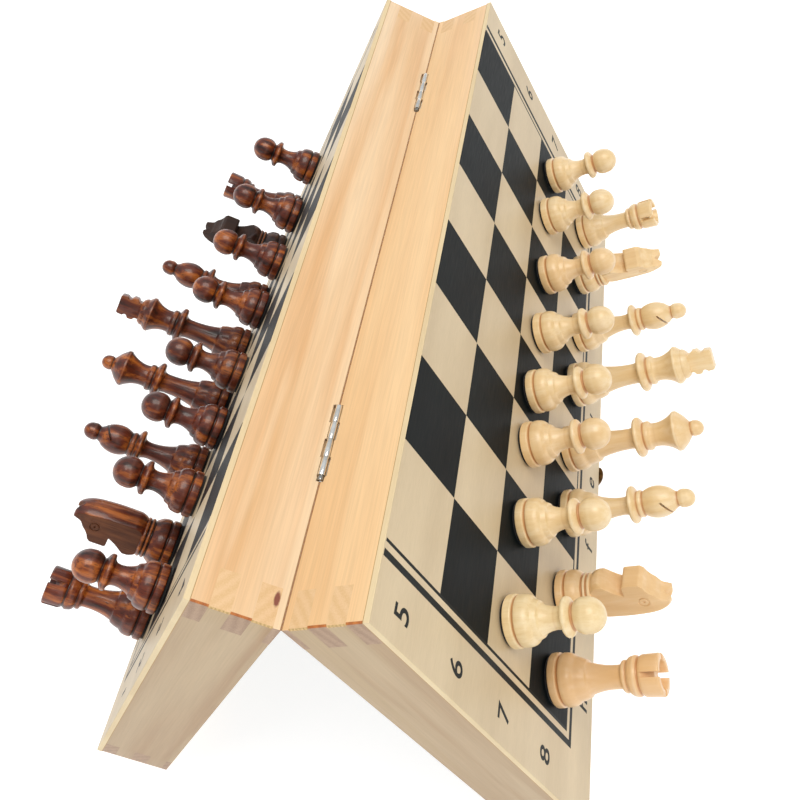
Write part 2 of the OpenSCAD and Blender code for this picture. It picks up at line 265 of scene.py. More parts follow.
@dataclass(frozen=True)
class Pine(WoodFinish):
    """Planed pine with a thin clear coat: cream early wood, orange lines of late wood
    3 to 6 mm apart where the rings are cut flat, and fine fibres.
    """

    board: float = 0.0
    pale: str = "#efd6b2"
    middle: str = "#ebcba2"
    deep: str = "#e1b888"
    late: str = "#d39d64"

    def build(self) -> bpy.types.Material:
        """Builds the nodes.

        Returns:
            The material.
        """
        material, tree, surface = self.start()
        flat = self.flat(tree)
        wander = self.fibres(tree, flat, 9, 14, 3, self.board)
        pith = {"Vector": flat, "Location": (0.045 + self.board, 0.0, -0.035 - self.board * 0.5)}
        if self.grain is Grain.ACROSS:
            pith["Location"] = (0.0, 0.055 + self.board, -0.03)
        moved = add_node(tree, "Mapping", pith).outputs[0]
        push = add_node(tree, "VectorMath", {0: wander, 1: (0.007, 0.007, 0.007)}, operation="MULTIPLY")
        bent = add_node(tree, "VectorMath", {0: moved, 1: push.outputs[0]}, operation="ADD")
        rings = add_node(
            tree, "TexWave", {"Vector": bent.outputs[0], "Scale": rings_to_scale(5.2)},
            wave_type="RINGS", rings_direction="XYZ"[self.grain.value], wave_profile="SAW",
        )
        late = add_node(
            tree, "ValToRGB", {0: rings.outputs["Fac"]},
            [(0.0, "#000000"), (0.45, "#161616"), (0.86, "#d0d0d0"), (1.0, "#000000")],
        )
        broad = self.fibres(tree, flat, 14, 18, 2, self.board + 0.3)
        patch = add_node(
            tree, "MapRange", {0: broad, 1: 0.36, 2: 0.66, 3: 0.12, 4: 0.95}
        )
        amount = add_node(
            tree, "Math", {0: late.outputs[0], 1: patch.outputs[0]}, operation="MULTIPLY"
        )
        ground = add_node(
            tree, "ValToRGB", {0: broad},
            [(0.3, self.pale), (0.5, self.middle), (0.72, self.deep)],
        )
        lined = add_node(
            tree, "Mix", {0: amount.outputs[0], 6: ground.outputs[0], 7: linear(self.late)},
            data_type="RGBA",
        )
        fine = self.fibres(tree, flat, 0.5, 40, 2, self.board)
        shade = add_node(tree, "MapRange", {0: fine, 1: 0.3, 2: 0.7, 3: 0.93, 4: 1.04})
        fibred = add_node(
            tree, "Mix", {0: 1.0, 6: lined.outputs[2], 7: shade.outputs[0]},
            data_type="RGBA", blend_type="MULTIPLY",
        )
        tree.links.new(fibred.outputs[2], surface.inputs["Base Color"])
        self.bump(tree, surface, fine, 0.06, 0.25)
        return material


@dataclass(frozen=True)
class PineEnd(WoodFinish):
    """Sanded end grain of the same pine: it drinks the coat and goes duller and browner,
    with the rings showing as curved lines and each fibre as a dot.
    """

    ground: str = "#d8b68c"
    ring: str = "#b98a5c"
    period: float = 2.9
    knot: tuple[float, float, float] | None = None

    def build(self) -> bpy.types.Material:
        """Builds the nodes.

        Returns:
            The material.
        """
        material, tree, surface = self.start()
        flat = self.flat(tree)
        pith = add_node(tree, "Mapping", {"Vector": flat, "Location": (0.02, 0.03, -0.16)})
        rings = add_node(
            tree, "TexWave",
            {"Vector": pith.outputs[0], "Scale": rings_to_scale(self.period), "Distortion": 1.6,
             "Detail": 2.0, "Detail Scale": 0.6},
            wave_type="RINGS", rings_direction="XYZ"[self.grain.value],
        )
        dots = add_node(tree, "TexNoise", {"Vector": flat, "Scale": size_to_scale(0.35), "Detail": 2.0})
        blend = add_node(
            tree, "Math", {0: rings.outputs["Fac"], 1: 0.3, 2: dots.outputs["Fac"]},
            operation="MULTIPLY_ADD",
        )
        colour = add_node(
            tree, "ValToRGB", {0: blend.outputs[0]}, [(0.4, self.ground), (0.95, self.ring)]
        ).outputs[0]
        if self.knot:
            colour = self.with_knot(tree, flat, colour)
        tree.links.new(colour, surface.inputs["Base Color"])
        self.bump(tree, surface, dots.outputs["Fac"], 0.05, 0.3)
        return material

    def with_knot(
        self, tree: bpy.types.NodeTree, flat: bpy.types.NodeSocket, colour: bpy.types.NodeSocket
    ) -> bpy.types.NodeSocket:
        """Adds one small dark-red pin knot, an oval with a ragged rim.

        Args:
            tree: Node tree of the material.
            flat: Position in the flat half.
            colour: Colour round the knot.

        Returns:
            The new colour socket.
        """
        away = add_node(tree, "VectorMath", {0: flat, 1: self.knot}, operation="SUBTRACT")
        oval = add_node(tree, "VectorMath", {0: away.outputs[0], 1: (0.4, 0.38, 1.0)}, operation="MULTIPLY")
        ragged = add_node(tree, "TexNoise", {"Vector": flat, "Scale": size_to_scale(0.8)})
        reach = add_node(tree, "VectorMath", {0: oval.outputs[0]}, operation="LENGTH")
        edge = add_node(
            tree, "Math", {0: ragged.outputs["Fac"], 1: 0.4 * MM, 2: reach.outputs["Value"]},
            operation="MULTIPLY_ADD",
        )
        inside = add_node(tree, "MapRange", {0: edge.outputs[0], 1: 1.2 * MM, 2: 0.8 * MM, 3: 0.0, 4: 0.92})
        stained = {0: inside.outputs[0], 6: colour, 7: linear("#7a3228")}
        return add_node(tree, "Mix", stained, data_type="RGBA").outputs[2]


@dataclass(frozen=True)
class Basswood(WoodFinish):
    """Face veneer of the thin playing panel: even, pale, with short flecks and a faint
    wander of tone, under a satin lacquer.
    """

    low: str = "#c0aa86"
    high: str = "#d0bb97"

    def build(self) -> bpy.types.Material:
        """Builds the nodes.

        Returns:
            The material.
        """
        material, tree, surface = self.start()
        flat = self.flat(tree)
        broad = self.fibres(tree, flat, 22, 5, 3)
        fleck = self.fibres(tree, flat, 0.35, 12, 2, 0.2)
        tone = add_node(tree, "ValToRGB", {0: broad}, [(0.32, self.low), (0.68, self.high)])
        shade = add_node(tree, "MapRange", {0: fleck, 1: 0.3, 2: 0.72, 3: 0.955, 4: 1.03})
        mixed = add_node(
            tree, "Mix", {0: 1.0, 6: tone.outputs[0], 7: shade.outputs[0]},
            data_type="RGBA", blend_type="MULTIPLY",
        )
        tree.links.new(mixed.outputs[2], surface.inputs["Base Color"])
        self.bump(tree, surface, fleck, 0.03, 0.2)
        return material


@dataclass(frozen=True)
class BlackSquare(WoodFinish):
    """Squares printed black over the veneer and lacquered: slate black, the fibres
    still showing as fine grey strokes, semi-gloss so that the men mirror in it.
    """

    low: str = "#050708"
    high: str = "#101719"
    shine: float = 0.12

    def build(self) -> bpy.types.Material:
        """Builds the nodes.

        Returns:
            The material.
        """
        material, tree, surface = self.start()
        flat = self.flat(tree)
        stroke = self.fibres(tree, flat, 0.5, 18, 3, 0.1)
        cloud = self.fibres(tree, flat, 12, 3, 3, 0.5)
        sum_ = add_node(tree, "Math", {0: cloud, 1: 0.45, 2: stroke}, operation="MULTIPLY_ADD")
        colour = add_node(tree, "ValToRGB", {0: sum_.outputs[0]}, [(0.5, self.low), (0.95, self.high)])
        tree.links.new(colour.outputs[0], surface.inputs["Base Color"])
        surface.inputs["Specular IOR Level"].default_value = self.shine
        worn = add_node(
            tree, "MapRange", {0: stroke, 1: 0.3, 2: 0.7, 3: self.roughness - 0.06, 4: self.roughness + 0.08}
        )
        tree.links.new(worn.outputs[0], surface.inputs["Roughness"])
        self.bump(tree, surface, stroke, 0.03, 0.25)
        return material


@dataclass(frozen=True)
class TurnedWood(WoodFinish):
    """Hardwood turned on a lathe, then lacquered or stained and lacquered.  The grooves, which
    the "groove" attribute of the men marks, are painted darker: partly stain gathered there,
    partly painted shade.  The crowns, which the "proud" attribute marks, are painted lighter:
    partly lacquer rubbed thin, partly painted highlight.
    """

    low: str = "#e3c58f"
    middle: str = "#ebd19f"
    high: str = "#f1dcb3"
    # groove: darker colour in the grooves, partly stain gathered there and partly painted shade; proud: lighter
    # colour on the crowns, partly lacquer rubbed thin and partly painted highlight.
    groove: str = "#b8793f"
    proud: str = "#faecc9"
    pore: str = "#cfa36a"
    pores: float = 0.15
    warm: str = "#e0ab73"

    def build(self) -> bpy.types.Material:
        """Builds the nodes.

        Returns:
            The material.
        """
        material, tree, surface = self.start()
        flat = self.flat(tree)
        figure = self.fibres(tree, flat, 3.2, 7, 4)
        tone = add_node(
            tree, "ValToRGB", {0: figure}, [(0.3, self.low), (0.5, self.middle), (0.68, self.high)]
        )
        vessel = self.fibres(tree, flat, 0.45, 16, 2, 0.3)
        open_ = add_node(tree, "MapRange", {0: vessel, 1: 0.56, 2: 0.68, 3: 0.0, 4: self.pores})
        pored = add_node(
            tree, "Mix", {0: open_.outputs[0], 6: tone.outputs[0], 7: linear(self.pore)}, data_type="RGBA"
        )
        colour = pored.outputs[2]
        # Tone is each man's own colour; the groove mark is part stain, part painted shade; the proud mark is part
        # worn lacquer, part painted highlight.
        marks = (("tone", self.warm, 1.0), ("proud", self.proud, 0.6), ("groove", self.groove, 0.8))
        for mark, code, share in marks:
            here = add_node(tree, "Attribute", attribute_name=mark)
            part = add_node(tree, "Math", {0: here.outputs["Fac"], 1: share}, operation="MULTIPLY")
            mixed = add_node(
                tree, "Mix", {0: part.outputs[0], 6: colour, 7: linear(code)}, data_type="RGBA"
            )
            colour = mixed.outputs[2]
        tree.links.new(colour, surface.inputs["Base Color"])
        self.bump(tree, surface, vessel, 0.04, 0.3)
        return material


@dataclass(frozen=True)
class Felt(Finish):
    """Pressed wool felt: matt, with matted fibres about 0.3 mm thick on its skin."""

    low: str = "#0c0b0b"
    high: str = "#1d1b1a"

    def build(self) -> bpy.types.Material:
        """Builds the nodes.

        Returns:
            The material.
        """
        material, tree, surface = self.start()
        where = add_node(tree, "TexCoord").outputs["Object"]
        wool = add_node(
            tree, "TexNoise", {"Vector": where, "Scale": size_to_scale(0.3), "Detail": 3.0, "Distortion": 1.5}
        )
        colour = add_node(tree, "ValToRGB", {0: wool.outputs["Fac"]}, [(0.3, self.low), (0.7, self.high)])
        tree.links.new(colour.outputs[0], surface.inputs["Base Color"])
        surface.inputs["Sheen Weight"].default_value = 0.25
        surface.inputs["Sheen Roughness"].default_value = 0.5
        self.bump(tree, surface, wool.outputs["Fac"], 0.15, 0.6)
        return material


@dataclass(frozen=True)
class Metal(Finish):
    """Plated or browned metal: a base colour with a cloudy film of another over it."""

    colour: str = "#c9c7c1"
    film: str = "#a8a49a"
    spread_mm: float = 2.5

    def build(self) -> bpy.types.Material:
        """Builds the nodes.

        Returns:
            The material.
        """
        material, tree, surface = self.start()
        where = add_node(tree, "TexCoord").outputs["Object"]
        cloud = add_node(
            tree, "TexNoise", {"Vector": where, "Scale": size_to_scale(self.spread_mm), "Detail": 4.0}
        )
        colour = add_node(
            tree, "ValToRGB", {0: cloud.outputs["Fac"]}, [(0.38, self.colour), (0.66, self.film)]
        )
        tree.links.new(colour.outputs[0], surface.inputs["Base Color"])
        rub = add_node(
            tree, "MapRange",
            {0: cloud.outputs["Fac"], 1: 0.3, 2: 0.7, 3: self.roughness - 0.05, 4: self.roughness + 0.1},
        )
        tree.links.new(rub.outputs[0], surface.inputs["Roughness"])
        scratch = add_node(tree, "TexNoise", {"Vector": where, "Scale": size_to_scale(0.4), "Detail": 2.0})
        self.bump(tree, surface, scratch.outputs["Fac"], 0.01, 0.3)
        return material


@dataclass(frozen=True)
class Plain(Finish):
    """Seamless studio paper: white with a barely visible tooth."""

    colour: str = "#f4f4f3"
    glow: float = 0.0

    def build(self) -> bpy.types.Material:
        """Builds the nodes.

        Returns:
            The material.
        """
        material, tree, surface = self.start()
        surface.inputs["Base Color"].default_value = linear(self.colour)
        surface.inputs["Emission Color"].default_value = linear("#ffffff")
        surface.inputs["Emission Strength"].default_value = self.glow
        where = add_node(tree, "TexCoord").outputs["Object"]
        tooth = add_node(tree, "TexNoise", {"Vector": where, "Scale": size_to_scale(2)})
        self.bump(tree, surface, tooth.outputs["Fac"], 0.05, 0.1)
        return material


# ---- workshop: shaping meshes --------------------------------------------------------
def clear_selection() -> None:
    """Leaves edit mode and deselects every object."""
    if bpy.context.object and bpy.context.object.mode != "OBJECT":
        bpy.ops.object.mode_set(mode="OBJECT")
    bpy.ops.object.select_all(action="DESELECT")


def take(obj: bpy.types.Object) -> bpy.types.Object:
    """Makes one object the only selected and the active one."""
    clear_selection()
    obj.select_set(True)
    bpy.context.view_layer.objects.active = obj
    return obj


def open_mesh(obj: bpy.types.Object, mode: str = "EDGE") -> None:
    """Opens an object's mesh in edit mode with what its elements' flags select."""
    take(obj)
    bpy.ops.object.mode_set(mode="EDIT")
    bpy.ops.mesh.select_mode(type=mode)


def close_mesh() -> None:
    """Goes back to object mode."""
    bpy.ops.object.mode_set(mode="OBJECT")


def mark(obj: bpy.types.Object, test: Callable[[bpy.types.MeshEdge], bool]) -> None:
    """Sets the selection flags of a mesh's edges in object mode.

    Args:
        obj: Mesh object.
        test: Test for the edges to select.
    """
    mesh = obj.data
    for group in (mesh.vertices, mesh.edges, mesh.polygons):
        group.foreach_set("select", [False] * len(group))
    for edge in mesh.edges:
        edge.select = bool(test(edge))


def apply_modifier(obj: bpy.types.Object, kind: str, **settings: object) -> bpy.types.Object:
    """Adds a modifier with its settings and applies it.

    Args:
        obj: Mesh object.
        kind: Blender's modifier type.
        settings: Properties of the modifier.

    Returns:
        The same object.
    """
    take(obj)
    modifier = obj.modifiers.new(kind.title(), kind)
    for name, value in settings.items():
        setattr(modifier, name, value)
    bpy.ops.object.modifier_apply(modifier=modifier.name)
    return obj


def carve(obj: bpy.types.Object, tool: bpy.types.Object, operation: str = "DIFFERENCE") -> None:
    """Cuts an object with another, which is used up.

    Args:
        obj: Mesh that keeps what is left.
        tool: Closed mesh that cuts or bounds it.
        operation: DIFFERENCE, INTERSECT or UNION.
    """
    apply_modifier(obj, "BOOLEAN", object=tool, operation=operation, solver="EXACT")
    bpy.data.objects.remove(tool, do_unlink=True)


def place(obj: bpy.types.Object, matrix: Matrix) -> bpy.types.Object:
    """Moves a mesh's points by a matrix and leaves its object at the origin."""
    obj.data.transform(matrix @ obj.matrix_world)
    obj.matrix_world = Matrix.Identity(4)
    obj.data.update()
    return obj


def smooth(obj: bpy.types.Object, degrees: float = 32) -> bpy.types.Object:
    """Shades smooth but for edges sharper than an angle."""
    take(obj)
    bpy.ops.object.shade_smooth_by_angle(angle=math.radians(degrees))
    return obj


def copy_of(obj: bpy.types.Object, name: str) -> bpy.types.Object:
    """Copies an object with a mesh of its own."""
    made = obj.copy()
    made.data = obj.data.copy()
    made.name = name
    made.data.name = name
    bpy.context.scene.collection.objects.link(made)
    return made


def node_copy(node: str, name: str, side: Side) -> bpy.types.Object:
    """Copies a node of the frame, lays it flat and welds its loose triangles.

    Args:
        node: Name of the node.
        name: Name of the new piece.
        side: Half the node stands on.

    Returns:
        The welded piece in flat coordinates.
    """
    source = frame["nodes"][node]
    made = bpy.data.objects.new(name, source.data.copy())
    made.data.name = name
    made.data.materials.clear()
    bpy.context.scene.collection.objects.link(made)
    place(made, STANCE.matrix(side).inverted())
    open_mesh(made)
    bpy.ops.mesh.select_all(action="SELECT")
    bpy.ops.mesh.remove_doubles(threshold=0.005 * MM)
    bpy.ops.mesh.customdata_custom_splitnormals_clear()
    bpy.ops.mesh.dissolve_limited(angle_limit=math.radians(0.6))
    close_mesh()
    return made


def dress(obj: bpy.types.Object, finishes: Iterable[Finish]) -> None:
    """Gives a piece its materials, in slot order."""
    obj.data.materials.clear()
    for finish in finishes:
        obj.data.materials.append(finish.material)


def settle(
    obj: bpy.types.Object, side: Side | None, body: str, nodes: Iterable[str] = ()
) -> bpy.types.Object:
    """Puts a finished piece on its body and reports it.

    Args:
        obj: Finished piece; in flat coordinates if a side is given.
        side: Half to stand it on, or None if it is in place.
        body: Body that carries it.
        nodes: Nodes of the frame that it stands for.

    Returns:
        The same object.
    """
    if side is not None:
        place(obj, STANCE.matrix(side))
    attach(obj, body)
    if nodes:
        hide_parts(*nodes)
    LOG.info("%s: %d faces on %s", obj.name, len(obj.data.polygons), body)
    return obj


# ---- trays ---------------------------------------------------------------------------
@dataclass
class Tray:
    """One half of the box: four finger-jointed rails under a thin printed panel."""

    side: Side
    half_width: float = 150 * MM
    half_length: float = 150 * MM
    hinge_gap: float = 0.1 * MM
    frame_depth: float = 24.5 * MM
    square: float = 31.5 * MM
    panel_top: float = 26.5 * MM
    end_round: float = 0.7 * MM
    edge_round: float = 0.18 * MM
    ridge_left: float = 0.05
    ridge_line: float = 0.3 * MM
    thin_line: tuple[float, float] = (23.05 * MM, 24.1 * MM)
    thick_line: tuple[float, float] = (18.9 * MM, 21.05 * MM)
    line_start: float = 0.6 * MM
    figure_size: float = 10.8 * MM
    figure_lift: float = 0.012 * MM
    number_inset: float = 9.2 * MM
    number_start: float = 14.4 * MM
    number_pitch: float = 32 * MM
    letter_inset: float = 8.8 * MM
    letter_shift: float = -1.5 * MM
    finishes: dict[str, Finish] = field(default_factory=dict)

    def __post_init__(self) -> None:
        """Chooses the finishes of this half."""
        word, side = self.side.word, self.side
        self.finishes = {
            # The light half's hinge rail is a darker, more orange copy of the same pine: painted shade for that
            # rail's face.
            "hinge_rail": (
                Pine(
                    f"pine_long_{word}", 0.42, coat=0.12, coat_roughness=0.25, side=side, board=0.013,
                    pale="#edc998", middle="#e7bd89", deep="#dcab73",
                )
                if side is Side.LIGHT
                else Pine(f"pine_long_{word}", 0.42, coat=0.12, coat_roughness=0.25, side=side, board=-0.004)
            ),
            "front_rail": Pine(
                f"pine_front_{word}", 0.42, coat=0.12, coat_roughness=0.25, side=side,
                board=0.031 * side.value,
            ),
            # The end rails' pine is darker and greyer than the long rails': painted shade for their outer end
            # faces.
            "end_rail": Pine(
                f"pine_cross_{word}", 0.5, coat=0.08, coat_roughness=0.3, side=side,
                grain=Grain.ACROSS, board=0.02 * side.value,
                pale="#c1aa86", middle="#b89f7b", deep="#ac8f6a", late="#a07b54",
            ),
            # End grain of the long rails, seen on the end faces: its darker, greyer colour is partly the end
            # grain's own and partly painted shade for those faces.
            "long_end_painted_shade": PineEnd(
                f"pine_end_grain_long_{word}", 0.6, side=side, ground="#b3967c", ring="#9d8069",
            ),
            "cross_end": PineEnd(
                f"pine_end_grain_cross_{word}", 0.6, side=side, grain=Grain.ACROSS,
                ground="#e3bf92", ring="#d8b07d",
                knot=(-0.1 * MM, -142.3 * MM, 3.1 * MM) if side is Side.DARK else None,
            ),
            "burnt_edge": PineEnd(
                f"pine_rubbed_edge_{word}", 0.5, side=side, ground="#c27634", ring="#9c5120",
            ),
            "ticked_edge": PineEnd(
                f"pine_ticked_edge_{word}", 0.5, side=side, ground="#dcbc84", ring="#a8854a", period=1.1,
            ),
            # Dark brown strip along the fold: painted shade for the closed gap between the halves.
            "ridge_painted_shade": PineEnd(
                f"pine_ridge_edge_{word}", 0.7, side=side, ground="#b08250", ring="#8c5e34",
            ),
            "veneer": Basswood(f"basswood_veneer_{word}", 0.46, coat=0.1, coat_roughness=0.3, side=side),
            "panel_edge": Basswood(
                f"basswood_edge_{word}", 0.6, side=side, low="#d8c197", high="#e6d2a9",
            ),
            "glue_line": Basswood(f"glue_line_{word}", 0.6, side=side, low="#a98352", high="#bb9663"),
            "black": BlackSquare(f"black_print_{word}", 0.5, ior=1.42, side=side),
            "ink": BlackSquare(f"ink_{word}", 0.45, side=side, low="#0d1011", high="#181c1d"),
        }

    @property
    def body(self) -> str:
        """Body that carries this half."""
        return f"{self.side.word}_half"

    def outer_planes(self, point: Vector) -> int:
        """Counts the box's outer planes that a point of the flat half lies on."""
        across = abs(point.x)
        near = 0.02 * MM
        return sum(
            (
                abs(across - self.hinge_gap) < near,
                abs(across - self.half_width) < near,
                abs(abs(point.y) - self.half_length) < near,
                abs(point.z - self.hinge_gap) < near,
            )
        )

    def on_outer_edge(
        self, obj: bpy.types.Object, at_end: bool
    ) -> Callable[[bpy.types.MeshEdge], bool]:
        """Makes the test for edges along which two outer planes meet.

        Args:
            obj: Rail in flat coordinates.
            at_end: Whether to take the edges between its hinge or front face and an end
                face, or all the others.

        Returns:
            The test.
        """
        points = obj.data.vertices

        def test(edge: bpy.types.MeshEdge) -> bool:
            ends = [points[i].co for i in edge.vertices]
            middle = (ends[0] + ends[1]) / 2
            both = min(self.outer_planes(p) for p in (*ends, middle)) >= 2
            run = ends[0] - ends[1]
            upright = abs(run.z) > 0.9 * run.length
            return both and run.length > 0.5 * MM and upright is at_end

        return test

    def build_rail(self, node: str, grain: Grain) -> bpy.types.Object:
        """Shapes and dresses one rail.

        Its corner at the fold is drawn out to just short of the hinge axis, so that no light
        comes through between the halves at any opening; a strip of it along the fold is painted
        dark brown as painted shade for the closed gap.

        Args:
            node: Name of the rail without its half.
            grain: Direction of its fibres.

        Returns:
            The rail in place.
        """
        full = f"{node}_{self.side.word}"
        rail = node_copy(full, f"{full}_wood", self.side)
        for point in rail.data.vertices:
            if abs(point.co.x) < 1.5 * self.hinge_gap and point.co.z < 1.5 * self.hinge_gap:
                point.co.x *= self.ridge_left
                point.co.z *= self.ridge_left
        for ends, offset in ((False, self.edge_round), (True, self.end_round)):
            mark(rail, self.on_outer_edge(rail, ends))
            open_mesh(rail)
            bpy.ops.mesh.bevel(offset=offset, segments=3, affect="EDGES", clamp_overlap=False)
            close_mesh()
        open_mesh(rail)
        bpy.ops.mesh.select_all(action="SELECT")
        bpy.ops.mesh.bisect(plane_co=(0, 0, self.ridge_line), plane_no=(0, 0, 1))
        close_mesh()
        long = grain is Grain.ALONG
        words = ("end_rail" if not long else node, "long_end_painted_shade" if long else "cross_end",
                 "burnt_edge" if long else "ticked_edge", "ridge_painted_shade")
        dress(rail, [self.finishes[word] for word in words])
        for face in rail.data.polygons:
            across, along, up = (abs(n) for n in face.normal)
            if (across, along)[grain.value] > 0.9:
                face.material_index = 1
            elif 0.2 < along < 0.98 and across > 0.2:
                face.material_index = 2
            # Faces along the fold take the painted shade of the closed gap.
            if abs(face.center.x) < 2 * self.hinge_gap and face.center.z < self.ridge_line:
                face.material_index = 3
        smooth(rail)
        return settle(rail, self.side, self.body, [full])

    def cut_lines(self) -> tuple[list[float], list[float]]:
        """Distances at which the panel's face is divided for printing.

        Returns:
            Distances from the hinge line, and Y values.
        """
        across = [self.square * k for k in range(1, 5)]
        across += [self.half_width - d for d in (*self.thin_line, *self.thick_line)]
        across.append(self.line_start)
        along = [self.square * k - 4 * self.square for k in range(9)]
        for edge in (*self.thin_line, *self.thick_line):
            along += [edge - self.half_length, self.half_length - edge]
        return sorted(set(round(a, 6) for a in across)), sorted(set(round(a, 6) for a in along))

    def printed(self, x: float, y: float) -> str:
        """Names what is printed at a place of the panel.

        Args:
            x: Distance from the hinge line.
            y: Place along it.

        Returns:
            "veneer", "black" or "ink".
        """
        edge = min(self.half_length - abs(y), self.half_width - x)
        for line in (self.thin_line, self.thick_line):
            if line[0] < edge < line[1]:
                return "ink" if x > self.line_start else "veneer"
        if edge < self.thin_line[1]:
            return "veneer"
        file = int((y + 4 * self.square) // self.square)
        row = int(x // self.square)
        dark = (file + row) % 2 == (1 if self.side is Side.LIGHT else 0)
        return "black" if dark else "veneer"

    def build_panel(self) -> bpy.types.Object:
        """Shapes the panel, divides its face along the print and dresses it.

        Returns:
            The panel in place.
        """
        node = f"playing_panel_{self.side.word}"
        panel = node_copy(node, f"{node}_veneered", self.side)
        top = self.panel_top
        mark(panel, lambda e: all(panel.data.vertices[i].co.z > top - 0.1 * MM for i in e.vertices))
        open_mesh(panel)
        bpy.ops.mesh.bevel(offset=0.3 * MM, segments=2, affect="EDGES", clamp_overlap=False)
        across, along = self.cut_lines()
        for axis, cuts in ((0, [a * self.side.value for a in across]), (1, along)):
            for cut in cuts:
                bpy.ops.mesh.select_all(action="SELECT")
                point = [0.0, 0.0, 0.0]
                point[axis] = cut
                normal = [0.0, 0.0, 0.0]
                normal[axis] = 1.0
                bpy.ops.mesh.bisect(plane_co=point, plane_no=normal)
        bpy.ops.mesh.select_all(action="SELECT")
        glue = self.frame_depth + 0.22 * MM
        bpy.ops.mesh.bisect(plane_co=(0, 0, glue), plane_no=(0, 0, 1))
        close_mesh()
        names = ("veneer", "black", "ink", "panel_edge", "glue_line")
        dress(panel, [self.finishes[n] for n in names])
        for face in panel.data.polygons:
            place_ = face.center
            word = "panel_edge"
            if face.normal.z > 0.5:
                word = self.printed(abs(place_.x), place_.y)
            elif place_.z < glue:
                word = "glue_line"
            face.material_index = names.index(word)
        smooth(panel, 20)
        return settle(panel, self.side, self.body, [node])

    def build_figures(self) -> bpy.types.Object:
        """Prints the row numbers on both ends and the file letters along the front.

        Returns:
            All the figures of this half as one thin mesh.
        """
        rows = "5678" if self.side is Side.LIGHT else "4321"
        made = []
        for row, sign in enumerate(rows):
            for end in (-1, 1):
                x = self.number_start + self.number_pitch * row
                made.append(self.figure(sign, x, end * (self.half_length - self.number_inset)))
        for file, sign in enumerate("hgfedcba"):
            y = self.square * (file + 0.5) - 4 * self.square
            made.append(self.figure(sign, self.half_width - self.letter_inset, y + self.letter_shift))
        take(made[0])
        for one in made:
            one.select_set(True)
        bpy.ops.object.join()
        figures = made[0]
        figures.name = figures.data.name = f"printed_figures_{self.side.word}"
        dress(figures, [self.finishes["ink"]])
        return settle(figures, self.side, self.body)

    def figure(self, sign: str, x: float, y: float) -> bpy.types.Object:
        """Makes one printed figure, its head towards the hinge line.

        Args:
            sign: The figure.
            x: Distance from the hinge line.
            y: Place along it.

        Returns:
            A flat mesh, a hundredth of a millimetre proud of the panel.
        """
        clear_selection()
        bpy.ops.object.text_add()
        text = bpy.context.object
        text.data.body = sign
        text.data.size = self.figure_size
        text.data.offset = 0.012 * self.figure_size
        text.data.align_x = "CENTER"
        text.data.align_y = "CENTER"
        text.data.resolution_u = 6
        text.data.extrude = 0.01 * MM
        bpy.ops.object.convert(target="MESH")
        flat = bpy.context.object
        turn = Matrix.Rotation(self.side.value * math.pi / 2, 4, "Z")
        spot = Matrix.Translation((self.side.value * x, y, self.panel_top + self.figure_lift))
        return place(flat, spot @ turn)

    def dress_inside(self) -> None:
        """Dresses the steel sheet and the felt lining, whose shapes are right as they are."""
        word = self.side.word
        steel = Metal("steel_sheet", 0.4, 1.0, colour="#8f9398", film="#7d8084", spread_mm=6)
        lining = Felt("felt_lining_green", 0.95, low="#1f3d2a", high="#2f5b3c")
        for node, finish in ((f"steel_sheet_{word}", steel), (f"felt_lining_{word}", lining)):
            dress(frame["nodes"][node], [finish])

    def build(self) -> None:
        """Builds all pieces of this half."""
        for node in ("hinge_rail", "front_rail"):
            self.build_rail(node, Grain.ALONG)
        for node in ("near_end_rail", "far_end_rail"):
            self.build_rail(node, Grain.ACROSS)
        self.build_panel()
        self.build_figures()
        self.dress_inside()


# ---- hardware ------------------------------------------------------------------------
@dataclass
class Hardware:
    """Nickel-plated hinges and screws, and the browned swing-hook latch."""

    nickel: Finish = Metal("nickel_plate", 0.14, 1.0, colour="#f4f1ea", film="#dcd8cf")
    pin: Finish = Metal("steel_pin", 0.25, 1.0, colour="#a9a8a4", film="#8c8a84")
    bronze: Finish = Metal(
        "browned_bronze", 0.38, 1.0, colour="#6b5030", film="#3a2a1a", spread_mm=1.8
    )

    def dress_node(self, node: str, side: Side, finish: Finish, round_mm: float) -> None:
        """Welds a node's copy, rounds its sharp edges a little and dresses it.

        Args:
            node: Name of the node.
            side: Half it was shaped on.
            finish: Its finish.
            round_mm: Radius of its edges.
        """
        piece = node_copy(node, f"{node}_metal", side)
        if round_mm:
            open_mesh(piece)
            bpy.ops.mesh.select_all(action="DESELECT")
            bpy.ops.mesh.edges_select_sharp(sharpness=math.radians(40))
            bpy.ops.mesh.bevel(offset=round_mm * MM, segments=2, affect="EDGES", clamp_overlap=True)
            close_mesh()
        dress(piece, [finish])
        smooth(piece, 30)
        settle(piece, side, BODY_OF[node], [node])

    def build(self) -> None:
        """Builds the hinges, their screws and the latch."""
        for end in ("near", "far"):
            for side in Side:
                node = f"{end}_hinge_leaf_{side.word}"
                self.dress_node(node, side, self.nickel, 0.1)
            self.dress_node(f"{end}_hinge_pin", Side.DARK, self.pin, 0.12)
        for side in Side:
            self.dress_node(f"hinge_screws_{side.word}", side, self.nickel, 0)
        for node in ("latch_rosette", "latch_rivet", "latch_hook"):
            self.dress_node(node, Side.LIGHT, self.bronze, 0.2)
        for node in ("catch_rosette", "catch_post"):
            self.dress_node(node, Side.DARK, self.bronze, 0.15)


# ---- chess men -----------------------------------------------------------------------
Station = tuple[float, float, float]


